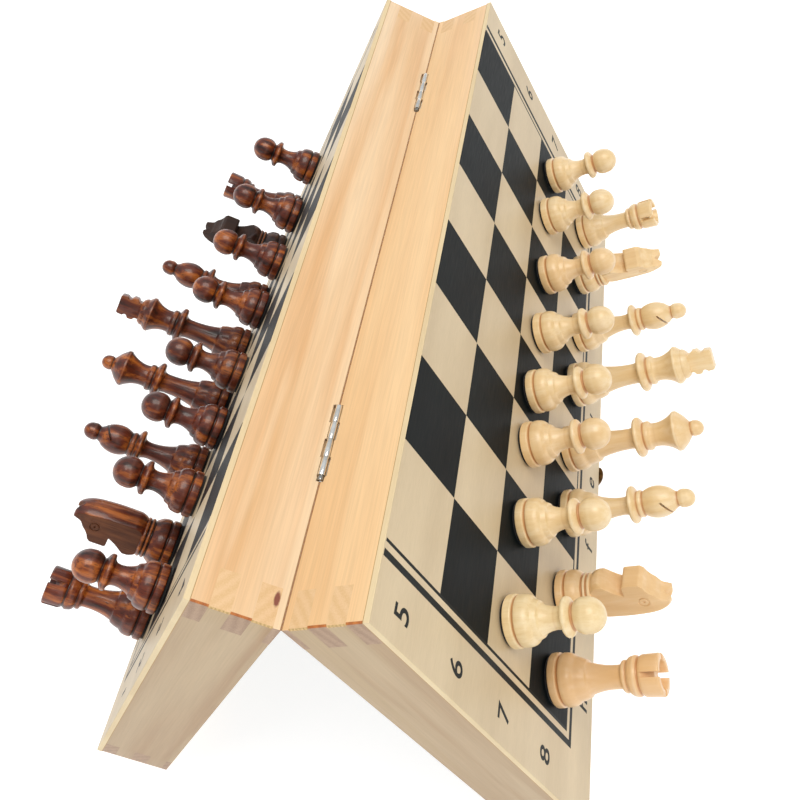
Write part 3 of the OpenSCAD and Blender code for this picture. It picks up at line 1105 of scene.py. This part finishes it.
@dataclass(frozen=True)
class TurnedLine:
    """Outline that the lathe follows, in millimetres above the playing face.

    A station is the radius, the height and the bulge of the stroke that leads to it:
    0 is straight, positive swells outwards, negative hollows, 1 is a half circle.
    """

    stations: tuple[Station, ...]
    step: float = 0.5
    ease: float = 0.16

    def stroke(self, start: Station, end: Station) -> list[tuple[float, float]]:
        """Points of one stroke, without its start.

        Args:
            start: Station at which the stroke begins.
            end: Station at which it ends.

        Returns:
            Radius and height of each point.
        """
        dx, dz, bulge = end[0] - start[0], end[1] - start[1], end[2]
        chord = math.hypot(dx, dz)
        if abs(bulge) < 0.01 or chord < 0.05:
            count = max(1, round(chord / (4 * self.step)))
            return [(start[0] + dx * k / count, start[1] + dz * k / count) for k in range(1, count + 1)]
        sweep = 4 * math.atan(bulge)
        radius = chord * (1 + bulge * bulge) / (4 * abs(bulge))
        lift = bulge * chord / 2 - math.copysign(radius, bulge)
        cx = (start[0] + end[0]) / 2 + dz / chord * lift
        cz = (start[1] + end[1]) / 2 - dx / chord * lift
        count = max(2, round(radius * abs(sweep) / self.step), round(abs(sweep) / 0.3))
        made = []
        for k in range(1, count + 1):
            turn = sweep * k / count
            ox, oz = start[0] - cx, start[1] - cz
            made.append(
                (
                    cx + ox * math.cos(turn) - oz * math.sin(turn),
                    cz + ox * math.sin(turn) + oz * math.cos(turn),
                )
            )
        return made

    def points(self) -> list[tuple[float, float]]:
        """The whole outline with its corners eased.

        Returns:
            Radius and height of each point, from the axis round to the axis.
        """
        raw = [self.stations[0][:2]]
        for start, end in zip(self.stations, self.stations[1:]):
            raw += self.stroke(start, end)
        eased = [raw[0]]
        for before, here, after in zip(raw, raw[1:], raw[2:]):
            a = Vector((here[0] - before[0], here[1] - before[1]))
            b = Vector((after[0] - here[0], after[1] - here[1]))
            if a.length < 1e-6 or b.length < 1e-6:
                continue
            if a.angle(b) < math.radians(26) or here[0] < 0.05:
                eased.append(here)
                continue
            cut = min(self.ease, a.length * 0.4, b.length * 0.4)
            first = Vector(here) - a.normalized() * cut
            last = Vector(here) + b.normalized() * cut
            middle = (first + last + 2 * Vector(here)) / 4
            eased += [tuple(first), tuple(middle), tuple(last)]
        eased.append(raw[-1])
        return eased


@dataclass
class Lathe:
    """Spins outlines into solids and marks their grooves and crowns."""

    turns: int = 64

    def spin(self, line: TurnedLine, name: str) -> bpy.types.Object:
        """Turns an outline round the Z axis.

        Args:
            line: Outline, from the axis round to the axis.
            name: Name of the piece.

        Returns:
            A closed solid standing on the origin.
        """
        clear_selection()
        bpy.ops.mesh.primitive_plane_add(size=1 * MM)
        man = bpy.context.object
        man.name = man.data.name = name
        bpy.ops.object.mode_set(mode="EDIT")
        bpy.ops.mesh.select_mode(type="VERT")
        bpy.ops.mesh.select_all(action="SELECT")
        bpy.ops.mesh.merge(type="CENTER")
        points = [(max(r, 0.0) * MM, z * MM) for r, z in line.points()]
        bpy.ops.transform.translate(value=(points[0][0], 0, points[0][1]))
        for (r0, z0), (r1, z1) in zip(points, points[1:]):
            bpy.ops.mesh.extrude_region_move(TRANSFORM_OT_translate={"value": (r1 - r0, 0, z1 - z0)})
        bpy.ops.mesh.select_all(action="SELECT")
        bpy.ops.mesh.spin(steps=self.turns, angle=2 * math.pi, center=(0, 0, 0), axis=(0, 0, 1))
        bpy.ops.mesh.select_all(action="SELECT")
        bpy.ops.mesh.remove_doubles(threshold=0.004 * MM)
        bpy.ops.mesh.normals_make_consistent(inside=False)
        close_mesh()
        return man

    def stain(self, man: bpy.types.Object, line: TurnedLine) -> None:
        """Writes how deep in a groove and how proud each point of a man lies.

        Args:
            man: Man standing on the origin.
            line: Outline it was turned to.
        """
        outline = [p for p in line.points() if p[0] > 0.3]
        low, high = min(z for _, z in outline), max(z for _, z in outline)
        grid = 0.2
        radii = []
        for k in range(int((high - low) / grid) + 1):
            z = low + grid * k
            spans = [
                a[0] + (b[0] - a[0]) * (z - a[1]) / (b[1] - a[1])
                for a, b in zip(outline, outline[1:])
                if min(a[1], b[1]) <= z <= max(a[1], b[1]) and abs(b[1] - a[1]) > 1e-6
            ]
            radii.append(max(spans, default=radii[-1] if radii else outline[0][0]))
        reach = 5
        sunk, raised = [], []
        for k, here in enumerate(radii):
            below, above = radii[max(0, k - reach) : k + 1], radii[k : k + reach + 1]
            sunk.append(min(max(below), max(above)) - here)
            raised.append(here - max(min(below), min(above)))
        marks = {"groove": [], "proud": []}
        for point in man.data.vertices:
            k = min(max(round((point.co.z / MM - low) / grid), 0), len(radii) - 1)
            shell = math.hypot(point.co.x, point.co.y) / MM > radii[k] - 0.8 and point.co.z / MM < high
            # Groove values darken recesses as stain plus painted shade; proud values lighten crowns as worn
            # lacquer plus painted highlight.
            marks["groove"].append(min(sunk[k] / 0.3, 1.0) if shell else 0.0)
            marks["proud"].append(min(raised[k] / 0.6, 1.0) if shell else 0.0)
        for name, values in marks.items():
            layer = man.data.attributes.new(name, "FLOAT", "POINT")
            layer.data.foreach_set("value", values)


def foot(radius: float) -> tuple[Station, ...]:
    """Stations of the moulded foot that all men share.

    Args:
        radius: Radius of the foot in millimetres.

    Returns:
        Stations from the axis up to the top of the round moulding.
    """
    return (
        (0, 1.0, 0),
        (radius - 0.35, 1.0, 0),
        (radius, 1.5, 0.35),
        (radius, 3.6, 0.05),
        (radius - 0.8, 4.05, 0.1),
        (radius - 0.8, 4.35, 0),
        (radius - 0.2, 4.9, 0.2),
        (radius - 0.3, 7.1, 0.1),
        (radius - 1.3, 9.1, 0.16),
    )


class Kind(Enum):
    """The six kinds of men with their outlines."""

    PAWN = TurnedLine(
        foot(8.35)
        + (
            (6.3, 9.6, -0.1), (5.6, 11.3, 0.08), (4.9, 11.7, -0.2), (3.55, 16.2, -0.12),
            (3.9, 18.3, -0.1), (5.7, 19.0, -0.22), (6.2, 19.9, 0.3), (5.6, 21.0, 0.3),
            (4.6, 21.6, 0.05), (3.9, 22.2, -0.2), (5.55, 26.5, 0.27), (0, 32.05, 0.414),
        )
    )
    ROOK = TurnedLine(
        foot(8.8)
        + (
            (7.1, 9.7, -0.1), (5.9, 13.1, 0.08), (5.2, 13.6, -0.2), (3.8, 22.5, -0.09),
            (3.9, 24.2, -0.05), (4.9, 24.9, -0.3), (5.15, 26.2, 0.25), (5.0, 26.7, -0.2),
            (6.3, 28.6, 0.3), (6.2, 30.2, 0.3), (5.9, 30.8, -0.2), (6.6, 32.0, 0.15),
            (6.75, 37.2, 0), (6.1, 38.0, 0.35), (4.9, 38.0, 0), (4.6, 37.6, 0.2), (4.5, 35.5, 0),
            (0, 35.4, 0),
        )
    )
    BISHOP = TurnedLine(
        foot(9.0)
        + (
            (7.2, 9.8, -0.1), (6.05, 13.1, 0.08), (5.2, 13.7, -0.2), (3.3, 22.4, -0.09),
            (3.8, 25.5, -0.12), (6.2, 26.1, -0.2), (6.95, 27.0, 0.3), (6.3, 28.1, 0.3),
            (4.9, 28.8, 0.05), (4.7, 29.2, -0.3), (5.0, 29.9, 0.3), (4.8, 30.8, 0.3),
            (4.5, 31.4, -0.25), (5.9, 36.4, 0.14), (4.2, 41.8, 0.14), (2.7, 43.9, -0.12),
            (3.3, 46.7, 0.25), (0, 50.0, 0.414),
        )
    )
    QUEEN = TurnedLine(
        foot(9.2)
        + (
            (7.5, 9.9, -0.1), (6.4, 14.0, 0.08), (5.5, 14.6, -0.2), (4.0, 26.3, -0.07),
            (4.4, 28.9, -0.12), (6.9, 29.5, -0.2), (7.75, 30.5, 0.3), (7.1, 31.8, 0.3),
            (5.5, 32.7, 0.05), (5.3, 33.2, -0.3), (5.6, 34.2, 0.3), (5.3, 35.3, 0.3),
            (4.6, 36.0, -0.25), (4.55, 38.3, -0.05), (7.3, 44.6, -0.14), (7.6, 45.6, 0.3),
            (7.2, 46.5, 0.25), (5.0, 48.9, 0.04), (3.2, 50.3, -0.03), (2.7, 50.8, -0.2),
            (2.95, 52.5, 0.2), (0, 55.45, 0.414),
        )
    )
    KING = TurnedLine(
        foot(9.4)
        + (
            (7.7, 10.0, -0.1), (6.6, 14.2, 0.08), (5.7, 14.8, -0.2), (4.2, 27.0, -0.07),
            (4.7, 29.5, -0.12), (7.3, 30.1, -0.2), (8.15, 31.1, 0.3), (7.5, 32.5, 0.3),
            (5.8, 33.3, 0.05), (5.6, 33.8, -0.3), (5.9, 34.8, 0.3), (5.6, 35.9, 0.3),
            (4.9, 36.6, -0.25), (4.85, 38.8, -0.05), (7.4, 44.6, -0.14), (7.7, 45.6, 0.3),
            (7.3, 46.5, 0.25), (6.2, 47.7, 0.02), (6.0, 48.0, -0.2), (5.9, 49.0, 0.2),
            (4.9, 50.2, 0.1), (0, 50.8, 0.1),
        )
    )
    KNIGHT = TurnedLine(
        foot(9.2)
        + (
            (7.4, 9.9, 0.1), (6.9, 10.4, -0.3), (7.5, 11.0, 0.3), (7.2, 11.7, 0.3), (6.9, 12.0, -0.2),
            (7.4, 12.5, 0.3), (7.3, 13.2, 0.3), (6.8, 13.6, 0.2), (0, 13.6, 0),
        )
    )


KNIGHT_BLANK = TurnedLine(
    (
        (0, 13.0, 0), (6.6, 13.2, 0), (7.4, 13.8, 0.15), (8.5, 16.6, 0.12), (8.6, 23.0, 0), (8.3, 30.0, 0.02),
        (7.6, 35.0, 0.04), (6.3, 38.0, 0.06), (4.7, 39.6, 0.1), (0, 39.9, 0.03),
    )
)


@dataclass(frozen=True)
class Place:
    """A man's node and how it is turned about its own axis, in degrees."""

    side: Side
    kind: Kind
    file: str
    turn: float = 0.0
    tone: float = 0.0

    @property
    def node(self) -> str:
        """Name of the man's node and body."""
        return f"{self.side.word}_{self.kind.name.lower()}_{self.file}"


def line_up(side: Side, turns: dict[str, float], tones: dict[str, float]) -> list[Place]:
    """Lists the back rank and the pawns of one side.

    Args:
        side: Half they stand on.
        turns: Turn of each man of the back rank by its file.
        tones: How deep the colour of a man is, by kind and file.

    Returns:
        The sixteen places.
    """
    order = (Kind.ROOK, Kind.KNIGHT, Kind.BISHOP, Kind.QUEEN, Kind.KING, Kind.BISHOP, Kind.KNIGHT, Kind.ROOK)
    rank = [Place(side, kind, file, turns.get(file, 0.0)) for kind, file in zip(order, "hgfedcba")]
    rank += [Place(side, Kind.PAWN, file) for file in "hgfedcba"]
    return [replace(man, tone=tones.get(f"{man.kind.name.lower()}_{man.file}", 0.15)) for man in rank]


@dataclass
class Men:
    """The 32 men: one model of each kind, copied to its places."""

    lathe: Lathe = field(default_factory=Lathe)
    models: dict[Kind, list[bpy.types.Object]] = field(default_factory=dict)
    slab: float = 4.9
    light: Finish = TurnedWood(
        "lacquered_boxwood", 0.36, coat=0.3, coat_roughness=0.2, side=Side.LIGHT, grain=Grain.UPRIGHT,
    )
    light_sawn: Finish = TurnedWood(
        "sawn_boxwood", 0.55, side=Side.LIGHT, grain=Grain.UPRIGHT,
        low="#e2c28e", middle="#ebcf9e", high="#f1dab0",
    )
    # The near-black groove colour is partly stain and partly painted shade; the orange proud colour is partly worn
    # lacquer and partly painted highlight.
    dark: Finish = TurnedWood(
        "stained_hardwood", 0.42, coat=0.42, coat_roughness=0.16, ior=1.4,
        side=Side.DARK, grain=Grain.UPRIGHT,
        low="#270b04", middle="#6c280b", high="#c06a24", groove="#0e0301", proud="#b8692a",
        pore="#240c05", pores=0.6, warm="#2a1a14",
    )
    dark_sawn: Finish = TurnedWood(
        "sawn_stained_hardwood", 0.6, ior=1.4, side=Side.DARK, grain=Grain.UPRIGHT,
        low="#4a2311", middle="#66381c", high="#824c2a", groove="#160603", proud="#7d553d",
        pore="#2c150c", pores=0.5, warm="#241813",
    )
    felt: Finish = Felt("black_felt", 0.95)

    def felt_pad(self, radius: float) -> bpy.types.Object:
        """Cuts the felt disc under a man.

        Args:
            radius: Radius of the disc in millimetres.

        Returns:
            A soft-edged disc.
        """
        edge = TurnedLine(
            (
                (0, 0.1, 0), (radius - 0.1, 0.1, 0), (radius, 0.3, 0.3), (radius, 0.8, 0),
                (radius - 0.1, 0.97, 0.2), (0, 0.97, 0),
            )
        )
        return smooth(self.lathe.spin(edge, "felt_pad"), 40)

    def box(self, size: tuple[float, float, float], centre: tuple[float, float, float]) -> bpy.types.Object:
        """Makes a cutting block.

        Args:
            size: Sides in millimetres.
            centre: Centre in millimetres.

        Returns:
            The block.
        """
        clear_selection()
        bpy.ops.mesh.primitive_cube_add(size=MM)
        block = bpy.context.object
        return place(block, Matrix.Translation(Vector(centre) * MM) @ Matrix.Diagonal((*size, 1)))

    def prism(self, outline: Iterable[tuple[float, float]], depth: float, name: str) -> bpy.types.Object:
        """Saws an outline out of a slab that stands on its edge in the XZ plane.

        Args:
            outline: Forward distance and height of each corner in millimetres.
            depth: Thickness along Y in millimetres.
            name: Name of the piece.

        Returns:
            A closed solid.
        """
        corners = [Vector((x, -depth / 2, z)) * MM for x, z in outline]
        clear_selection()
        bpy.ops.mesh.primitive_plane_add(size=MM)
        slab = bpy.context.object
        slab.name = slab.data.name = name
        bpy.ops.object.mode_set(mode="EDIT")
        bpy.ops.mesh.select_mode(type="VERT")
        bpy.ops.mesh.select_all(action="SELECT")
        bpy.ops.mesh.merge(type="CENTER")
        bpy.ops.transform.translate(value=corners[0])
        for here, there in zip(corners, corners[1:]):
            bpy.ops.mesh.extrude_region_move(TRANSFORM_OT_translate={"value": there - here})
        bpy.ops.mesh.select_all(action="SELECT")
        bpy.ops.mesh.edge_face_add()
        bpy.ops.mesh.extrude_region_move(TRANSFORM_OT_translate={"value": (0, depth * MM, 0)})
        bpy.ops.mesh.select_all(action="SELECT")
        bpy.ops.mesh.normals_make_consistent(inside=False)
        close_mesh()
        return slab

    def model_rook(self) -> bpy.types.Object:
        """Turns the rook and saws four slots down and outwards through the rim of its crown."""
        rook = self.lathe.spin(Kind.ROOK.value, "rook")
        fall = Matrix.Translation(Vector((5.0, 0, 33.0)) * MM) @ Matrix.Rotation(math.radians(40), 4, "Y")
        for turn in (0, 90, 180, 270):
            slot = self.box((9, 1.7, 9), (0, 0, 4.5))
            place(slot, Matrix.Rotation(math.radians(turn), 4, "Z") @ fall)
            carve(rook, slot)
        return rook

    def model_bishop(self) -> bpy.types.Object:
        """Turns the bishop and saws the slanting slit of its mitre."""
        bishop = self.lathe.spin(Kind.BISHOP.value, "bishop")
        slit = self.box((9, 16, 0.75), (4.5, 0, 0))
        tilt = Matrix.Rotation(math.radians(-38), 4, "Y")
        place(slit, Matrix.Translation(Vector((0.2, 0, 38.1)) * MM) @ tilt)
        carve(bishop, slit)
        return bishop

    def model_king(self) -> bpy.types.Object:
        """Turns the king and sets the sawn cross on its crown."""
        king = self.lathe.spin(Kind.KING.value, "king")
        half = [(3.7, 50.0), (3.7, 51.6), (4.9, 52.6), (4.9, 54.6), (3.6, 55.5), (3.6, 56.4), (4.4, 57.3),
                (4.2, 59.6), (3.7, 60.0)]
        outline = half + [(-x, z) for x, z in reversed(half)]
        cross = self.prism(outline, 4.8, "cross")
        place(cross, Matrix.Rotation(math.radians(90), 4, "Z"))
        apply_modifier(cross, "BEVEL", width=0.25 * MM, segments=2)
        carve(king, cross, "UNION")
        return king

    def model_knight(self) -> bpy.types.Object:
        """Turns the blank of the head, saws its two flat cheeks and its face, splits the
        ears, drills the ringed eyes and sets the head on its turned foot.
        """
        outline = [
            (-12, 13.0), (-12, 42), (-3.0, 42), (-2.5, 39.4), (-1.9, 37.4), (-1.3, 36.2), (0.6, 35.2),
            (2.0, 33.8), (3.4, 32.8), (5.4, 32.1), (6.5, 30.9), (6.6, 25.6), (6.1, 24.9), (2.0, 24.7),
            (3.8, 21.8), (7.2, 18.0), (8.0, 16.4), (8.0, 15.0), (7.4, 13.8), (7, 13.0),
        ]
        head = self.lathe.spin(KNIGHT_BLANK, "knight_head")
        carve(head, self.prism(outline, 2 * self.slab, "cheeks"), "INTERSECT")
        wedge = [(4.9, 13.0), (4.9, 33.0), (4.2, 38.0), (4.0, 42.0)]
        wedge += [(-x, z) for x, z in reversed(wedge)]
        crest = place(self.prism(wedge, 30, "crest"), Matrix.Rotation(math.radians(90), 4, "Z"))
        carve(head, crest, "INTERSECT")
        notch = self.prism([(-2.5, 40.4), (0, 37.1), (2.5, 40.4)], 30, "notch")
        carve(head, place(notch, Matrix.Rotation(math.radians(90), 4, "Z")))
        apply_modifier(head, "REMESH", mode="VOXEL", voxel_size=0.22 * MM)
        apply_modifier(head, "SMOOTH", factor=0.5, iterations=1)
        for cheek in (-1, 1):
            clear_selection()
            bpy.ops.mesh.primitive_torus_add(
                major_radius=1.8 * MM, minor_radius=0.33 * MM, major_segments=36, minor_segments=8,
            )
            ring = bpy.context.object
            spot = Matrix.Translation(Vector((-1.3, cheek * self.slab, 30.8)) * MM)
            place(ring, spot @ Matrix.Rotation(math.radians(90), 4, "X"))
            carve(head, ring)
            clear_selection()
            bpy.ops.mesh.primitive_uv_sphere_add(radius=0.5 * MM, segments=16, ring_count=8)
            pupil = place(bpy.context.object, spot)
            carve(head, pupil)
        base = self.lathe.spin(Kind.KNIGHT.value, "knight")
        take(base)
        head.select_set(True)
        bpy.ops.object.join()
        return base

    def paint_knight(self, knight: bpy.types.Object) -> None:
        """Sets the sawn finish on the cheeks and the face of a knight's model."""
        blank = KNIGHT_BLANK.points()

        def blank_radius(z: float) -> float:
            spans = [
                a[0] + (b[0] - a[0]) * (z - a[1]) / (b[1] - a[1])
                for a, b in zip(blank, blank[1:])
                if min(a[1], b[1]) <= z <= max(a[1], b[1]) and abs(b[1] - a[1]) > 1e-6
            ]
            return max(spans, default=0.0)

        for face in knight.data.polygons:
            c = face.center / MM
            if c.z < 13.3:
                continue
            turned = abs(math.hypot(c.x, c.y) - blank_radius(c.z)) < 0.35 or c.z > 39.3
            face.material_index = 0 if turned and abs(face.normal.y) < 0.93 else 1

    def make_models(self) -> None:
        """Makes one model of each kind, with its felt pad."""
        makers = {
            Kind.ROOK: self.model_rook, Kind.BISHOP: self.model_bishop, Kind.KING: self.model_king,
            Kind.KNIGHT: self.model_knight,
        }
        for kind in Kind:
            made = makers.get(kind, lambda k=kind: self.lathe.spin(k.value, k.name.lower()))()
            made.data.materials.append(self.light.material)
            made.data.materials.append(self.light_sawn.material)
            if kind is Kind.KNIGHT:
                self.paint_knight(made)
            if kind is Kind.KING:
                for face in made.data.polygons:
                    face.material_index = 0
            smooth(made, 34)
            self.lathe.stain(made, kind.value)
            pad = self.felt_pad(kind.value.stations[2][0] - 0.8)
            self.models[kind] = [made, pad]
            LOG.info("model %s: %d faces", kind.name.lower(), len(made.data.polygons))

    def where(self, spot: Place) -> Matrix:
        """Finds where a man stands, from the foot of its node.

        Args:
            spot: Which man.

        Returns:
            Placement of its model.
        """
        lay = STANCE.matrix(spot.side).inverted()
        ring = [lay @ v.co for v in frame["nodes"][spot.node].data.vertices]
        panel_top = 26.5 * MM
        ring = [p for p in ring if panel_top + 1.4 * MM < p.z < panel_top + 3.6 * MM]
        x = (min(p.x for p in ring) + max(p.x for p in ring)) / 2
        y = (min(p.y for p in ring) + max(p.y for p in ring)) / 2
        turn = Matrix.Rotation(math.radians(spot.turn), 4, "Z")
        return STANCE.matrix(spot.side) @ Matrix.Translation((x, y, panel_top)) @ turn

    def stand(self, spot: Place) -> None:
        """Copies a model to its place and dresses it."""
        wood_model, pad_model = self.models[spot.kind]
        at = self.where(spot)
        wood = place(copy_of(wood_model, f"{spot.node}_wood"), at)
        pad = place(copy_of(pad_model, f"{spot.node}_felt"), at)
        tone = wood.data.attributes.new("tone", "FLOAT", "POINT")
        tone.data.foreach_set("value", [spot.tone] * len(wood.data.vertices))
        dark = spot.side is Side.DARK
        wood.data.materials[0] = (self.dark if dark else self.light).material
        wood.data.materials[1] = (self.dark_sawn if dark else self.light_sawn).material
        dress(pad, [self.felt])
        settle(wood, None, BODY_OF[spot.node], [spot.node])
        settle(pad, None, BODY_OF[spot.node])

    def build(self, places: Iterable[Place]) -> None:
        """Makes the models and stands all men."""
        self.make_models()
        for spot in places:
            self.stand(spot)
        for models in self.models.values():
            for model in models:
                bpy.data.objects.remove(model, do_unlink=True)


# ---- studio --------------------------------------------------------------------------
@dataclass
class Studio:
    """White paper sweep, soft lights and the camera above the near right corner."""

    floor_size: float = 14.0
    wall: float = 2.0
    eye: tuple[float, float, float] = (0.06124, -0.2506, 0.36786)
    turn: tuple[float, float, float] = (43.315, 3.170, 9.300)
    lens: float = 43.04
    shift: tuple[float, float] = (-0.0034, -0.1085)

    def lay_paper(self) -> None:
        """Lays the white paper floor and folds its rim up, so that no view meets a horizon."""
        clear_selection()
        bpy.ops.mesh.primitive_plane_add(size=self.floor_size)
        floor = bpy.context.object
        floor.name = floor.data.name = "paper_floor"
        open_mesh(floor, "FACE")
        bpy.ops.mesh.select_all(action="SELECT")
        bpy.ops.mesh.subdivide(number_cuts=7)
        bpy.ops.mesh.select_mode(type="EDGE")
        bpy.ops.mesh.select_all(action="SELECT")
        bpy.ops.mesh.region_to_loop()
        bpy.ops.mesh.extrude_region_move(TRANSFORM_OT_translate={"value": (0, 0, self.wall)})
        close_mesh()
        dress(floor, [Plain("white_paper", 0.9, colour="#b4b4b4", glow=0.82)])

    def hang_light(
        self, name: str, at: tuple[float, float, float], aim: tuple[float, float, float],
        size: float, watts: float, tint: str = "#ffffff",
    ) -> None:
        """Hangs a soft box.

        Args:
            name: Name of the light.
            at: Its place.
            aim: What it points at.
            size: Side of the square box.
            watts: Power.
            tint: Colour.
        """
        data = bpy.data.lights.new(name, "AREA")
        data.shape = "SQUARE"
        data.size = size
        data.energy = watts
        data.color = linear(tint)[:3]
        lamp = bpy.data.objects.new(name, data)
        lamp.location = at
        lamp.rotation_euler = (Vector(at) - Vector(aim)).to_track_quat("Z", "Y").to_euler()
        bpy.context.scene.collection.objects.link(lamp)

    def build(self) -> None:
        """Sets up the paper, the lights and the camera."""
        self.lay_paper()
        world = bpy.data.worlds.new("soft_room")
        world.use_nodes = True
        tree = world.node_tree
        sky = tree.nodes["Background"]
        way = add_node(tree, "TexCoord").outputs["Generated"]
        height = add_node(tree, "VectorMath", {0: way, 1: (-0.2, 0.35, 0.9)}, operation="DOT_PRODUCT")
        glow = add_node(tree, "MapRange", {0: height.outputs["Value"], 1: -0.4, 2: 0.9, 3: 0.08, 4: 0.8})
        sky.inputs["Color"].default_value = linear("#eef3f8")
        tree.links.new(glow.outputs[0], sky.inputs["Strength"])
        bpy.context.scene.world = world
        self.hang_light("key_box", (0.04, -0.08, 1.25), (0, 0, 0.08), 0.7, 7.9, "#fff8ee")
        self.hang_light("side_box", (0.5, -0.9, 0.7), (0.1, 0, 0.1), 0.6, 1.6)
        camera_data = bpy.data.cameras.new("studio_camera")
        camera_data.lens = self.lens
        camera_data.sensor_width = 36
        camera_data.shift_x, camera_data.shift_y = self.shift
        camera_data.clip_start = 0.01
        camera_data.clip_end = 60
        camera = bpy.data.objects.new("studio_camera", camera_data)
        camera.location = self.eye
        camera.rotation_euler = [math.radians(a) for a in self.turn]
        bpy.context.scene.collection.objects.link(camera)
        bpy.context.scene.camera = camera
        bpy.context.scene.view_settings.view_transform = "Standard"


LIGHT_TURNS = {"h": 22, "g": 165, "f": 309, "d": 235, "c": 317, "b": 210, "a": 69}
DARK_TURNS = {"h": -10, "g": 200, "f": 43, "d": -55, "c": 143, "b": 0, "a": -45}
LIGHT_TONES = {"rook_h": 0.65, "knight_g": 0.4, "pawn_h": 0.0, "pawn_f": 0.3, "queen_e": 0.3, "pawn_c": 0.35}
# knight_b is made near black, partly a deeper stain and partly painted shade for that man standing in shade; the
# other tones are each man's own colour.
DARK_TONES = {"knight_b": 0.85, "rook_h": 0.0, "pawn_h": 0.1, "pawn_e": 0.35, "king_d": 0.3}


def write_sizes() -> None:
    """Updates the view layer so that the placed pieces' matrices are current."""
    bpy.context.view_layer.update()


def main() -> None:
    """Builds the set in order."""
    logging.basicConfig(level=logging.INFO, format="%(name)s %(message)s")
    Studio().build()
    for side in Side:
        Tray(side).build()
    Hardware().build()
    light_men = line_up(Side.LIGHT, LIGHT_TURNS, LIGHT_TONES)
    dark_men = line_up(Side.DARK, DARK_TURNS, DARK_TONES)
    Men().build(light_men + dark_men)
    write_sizes()
    clear_selection()


if __name__ == "__main__":
    main()
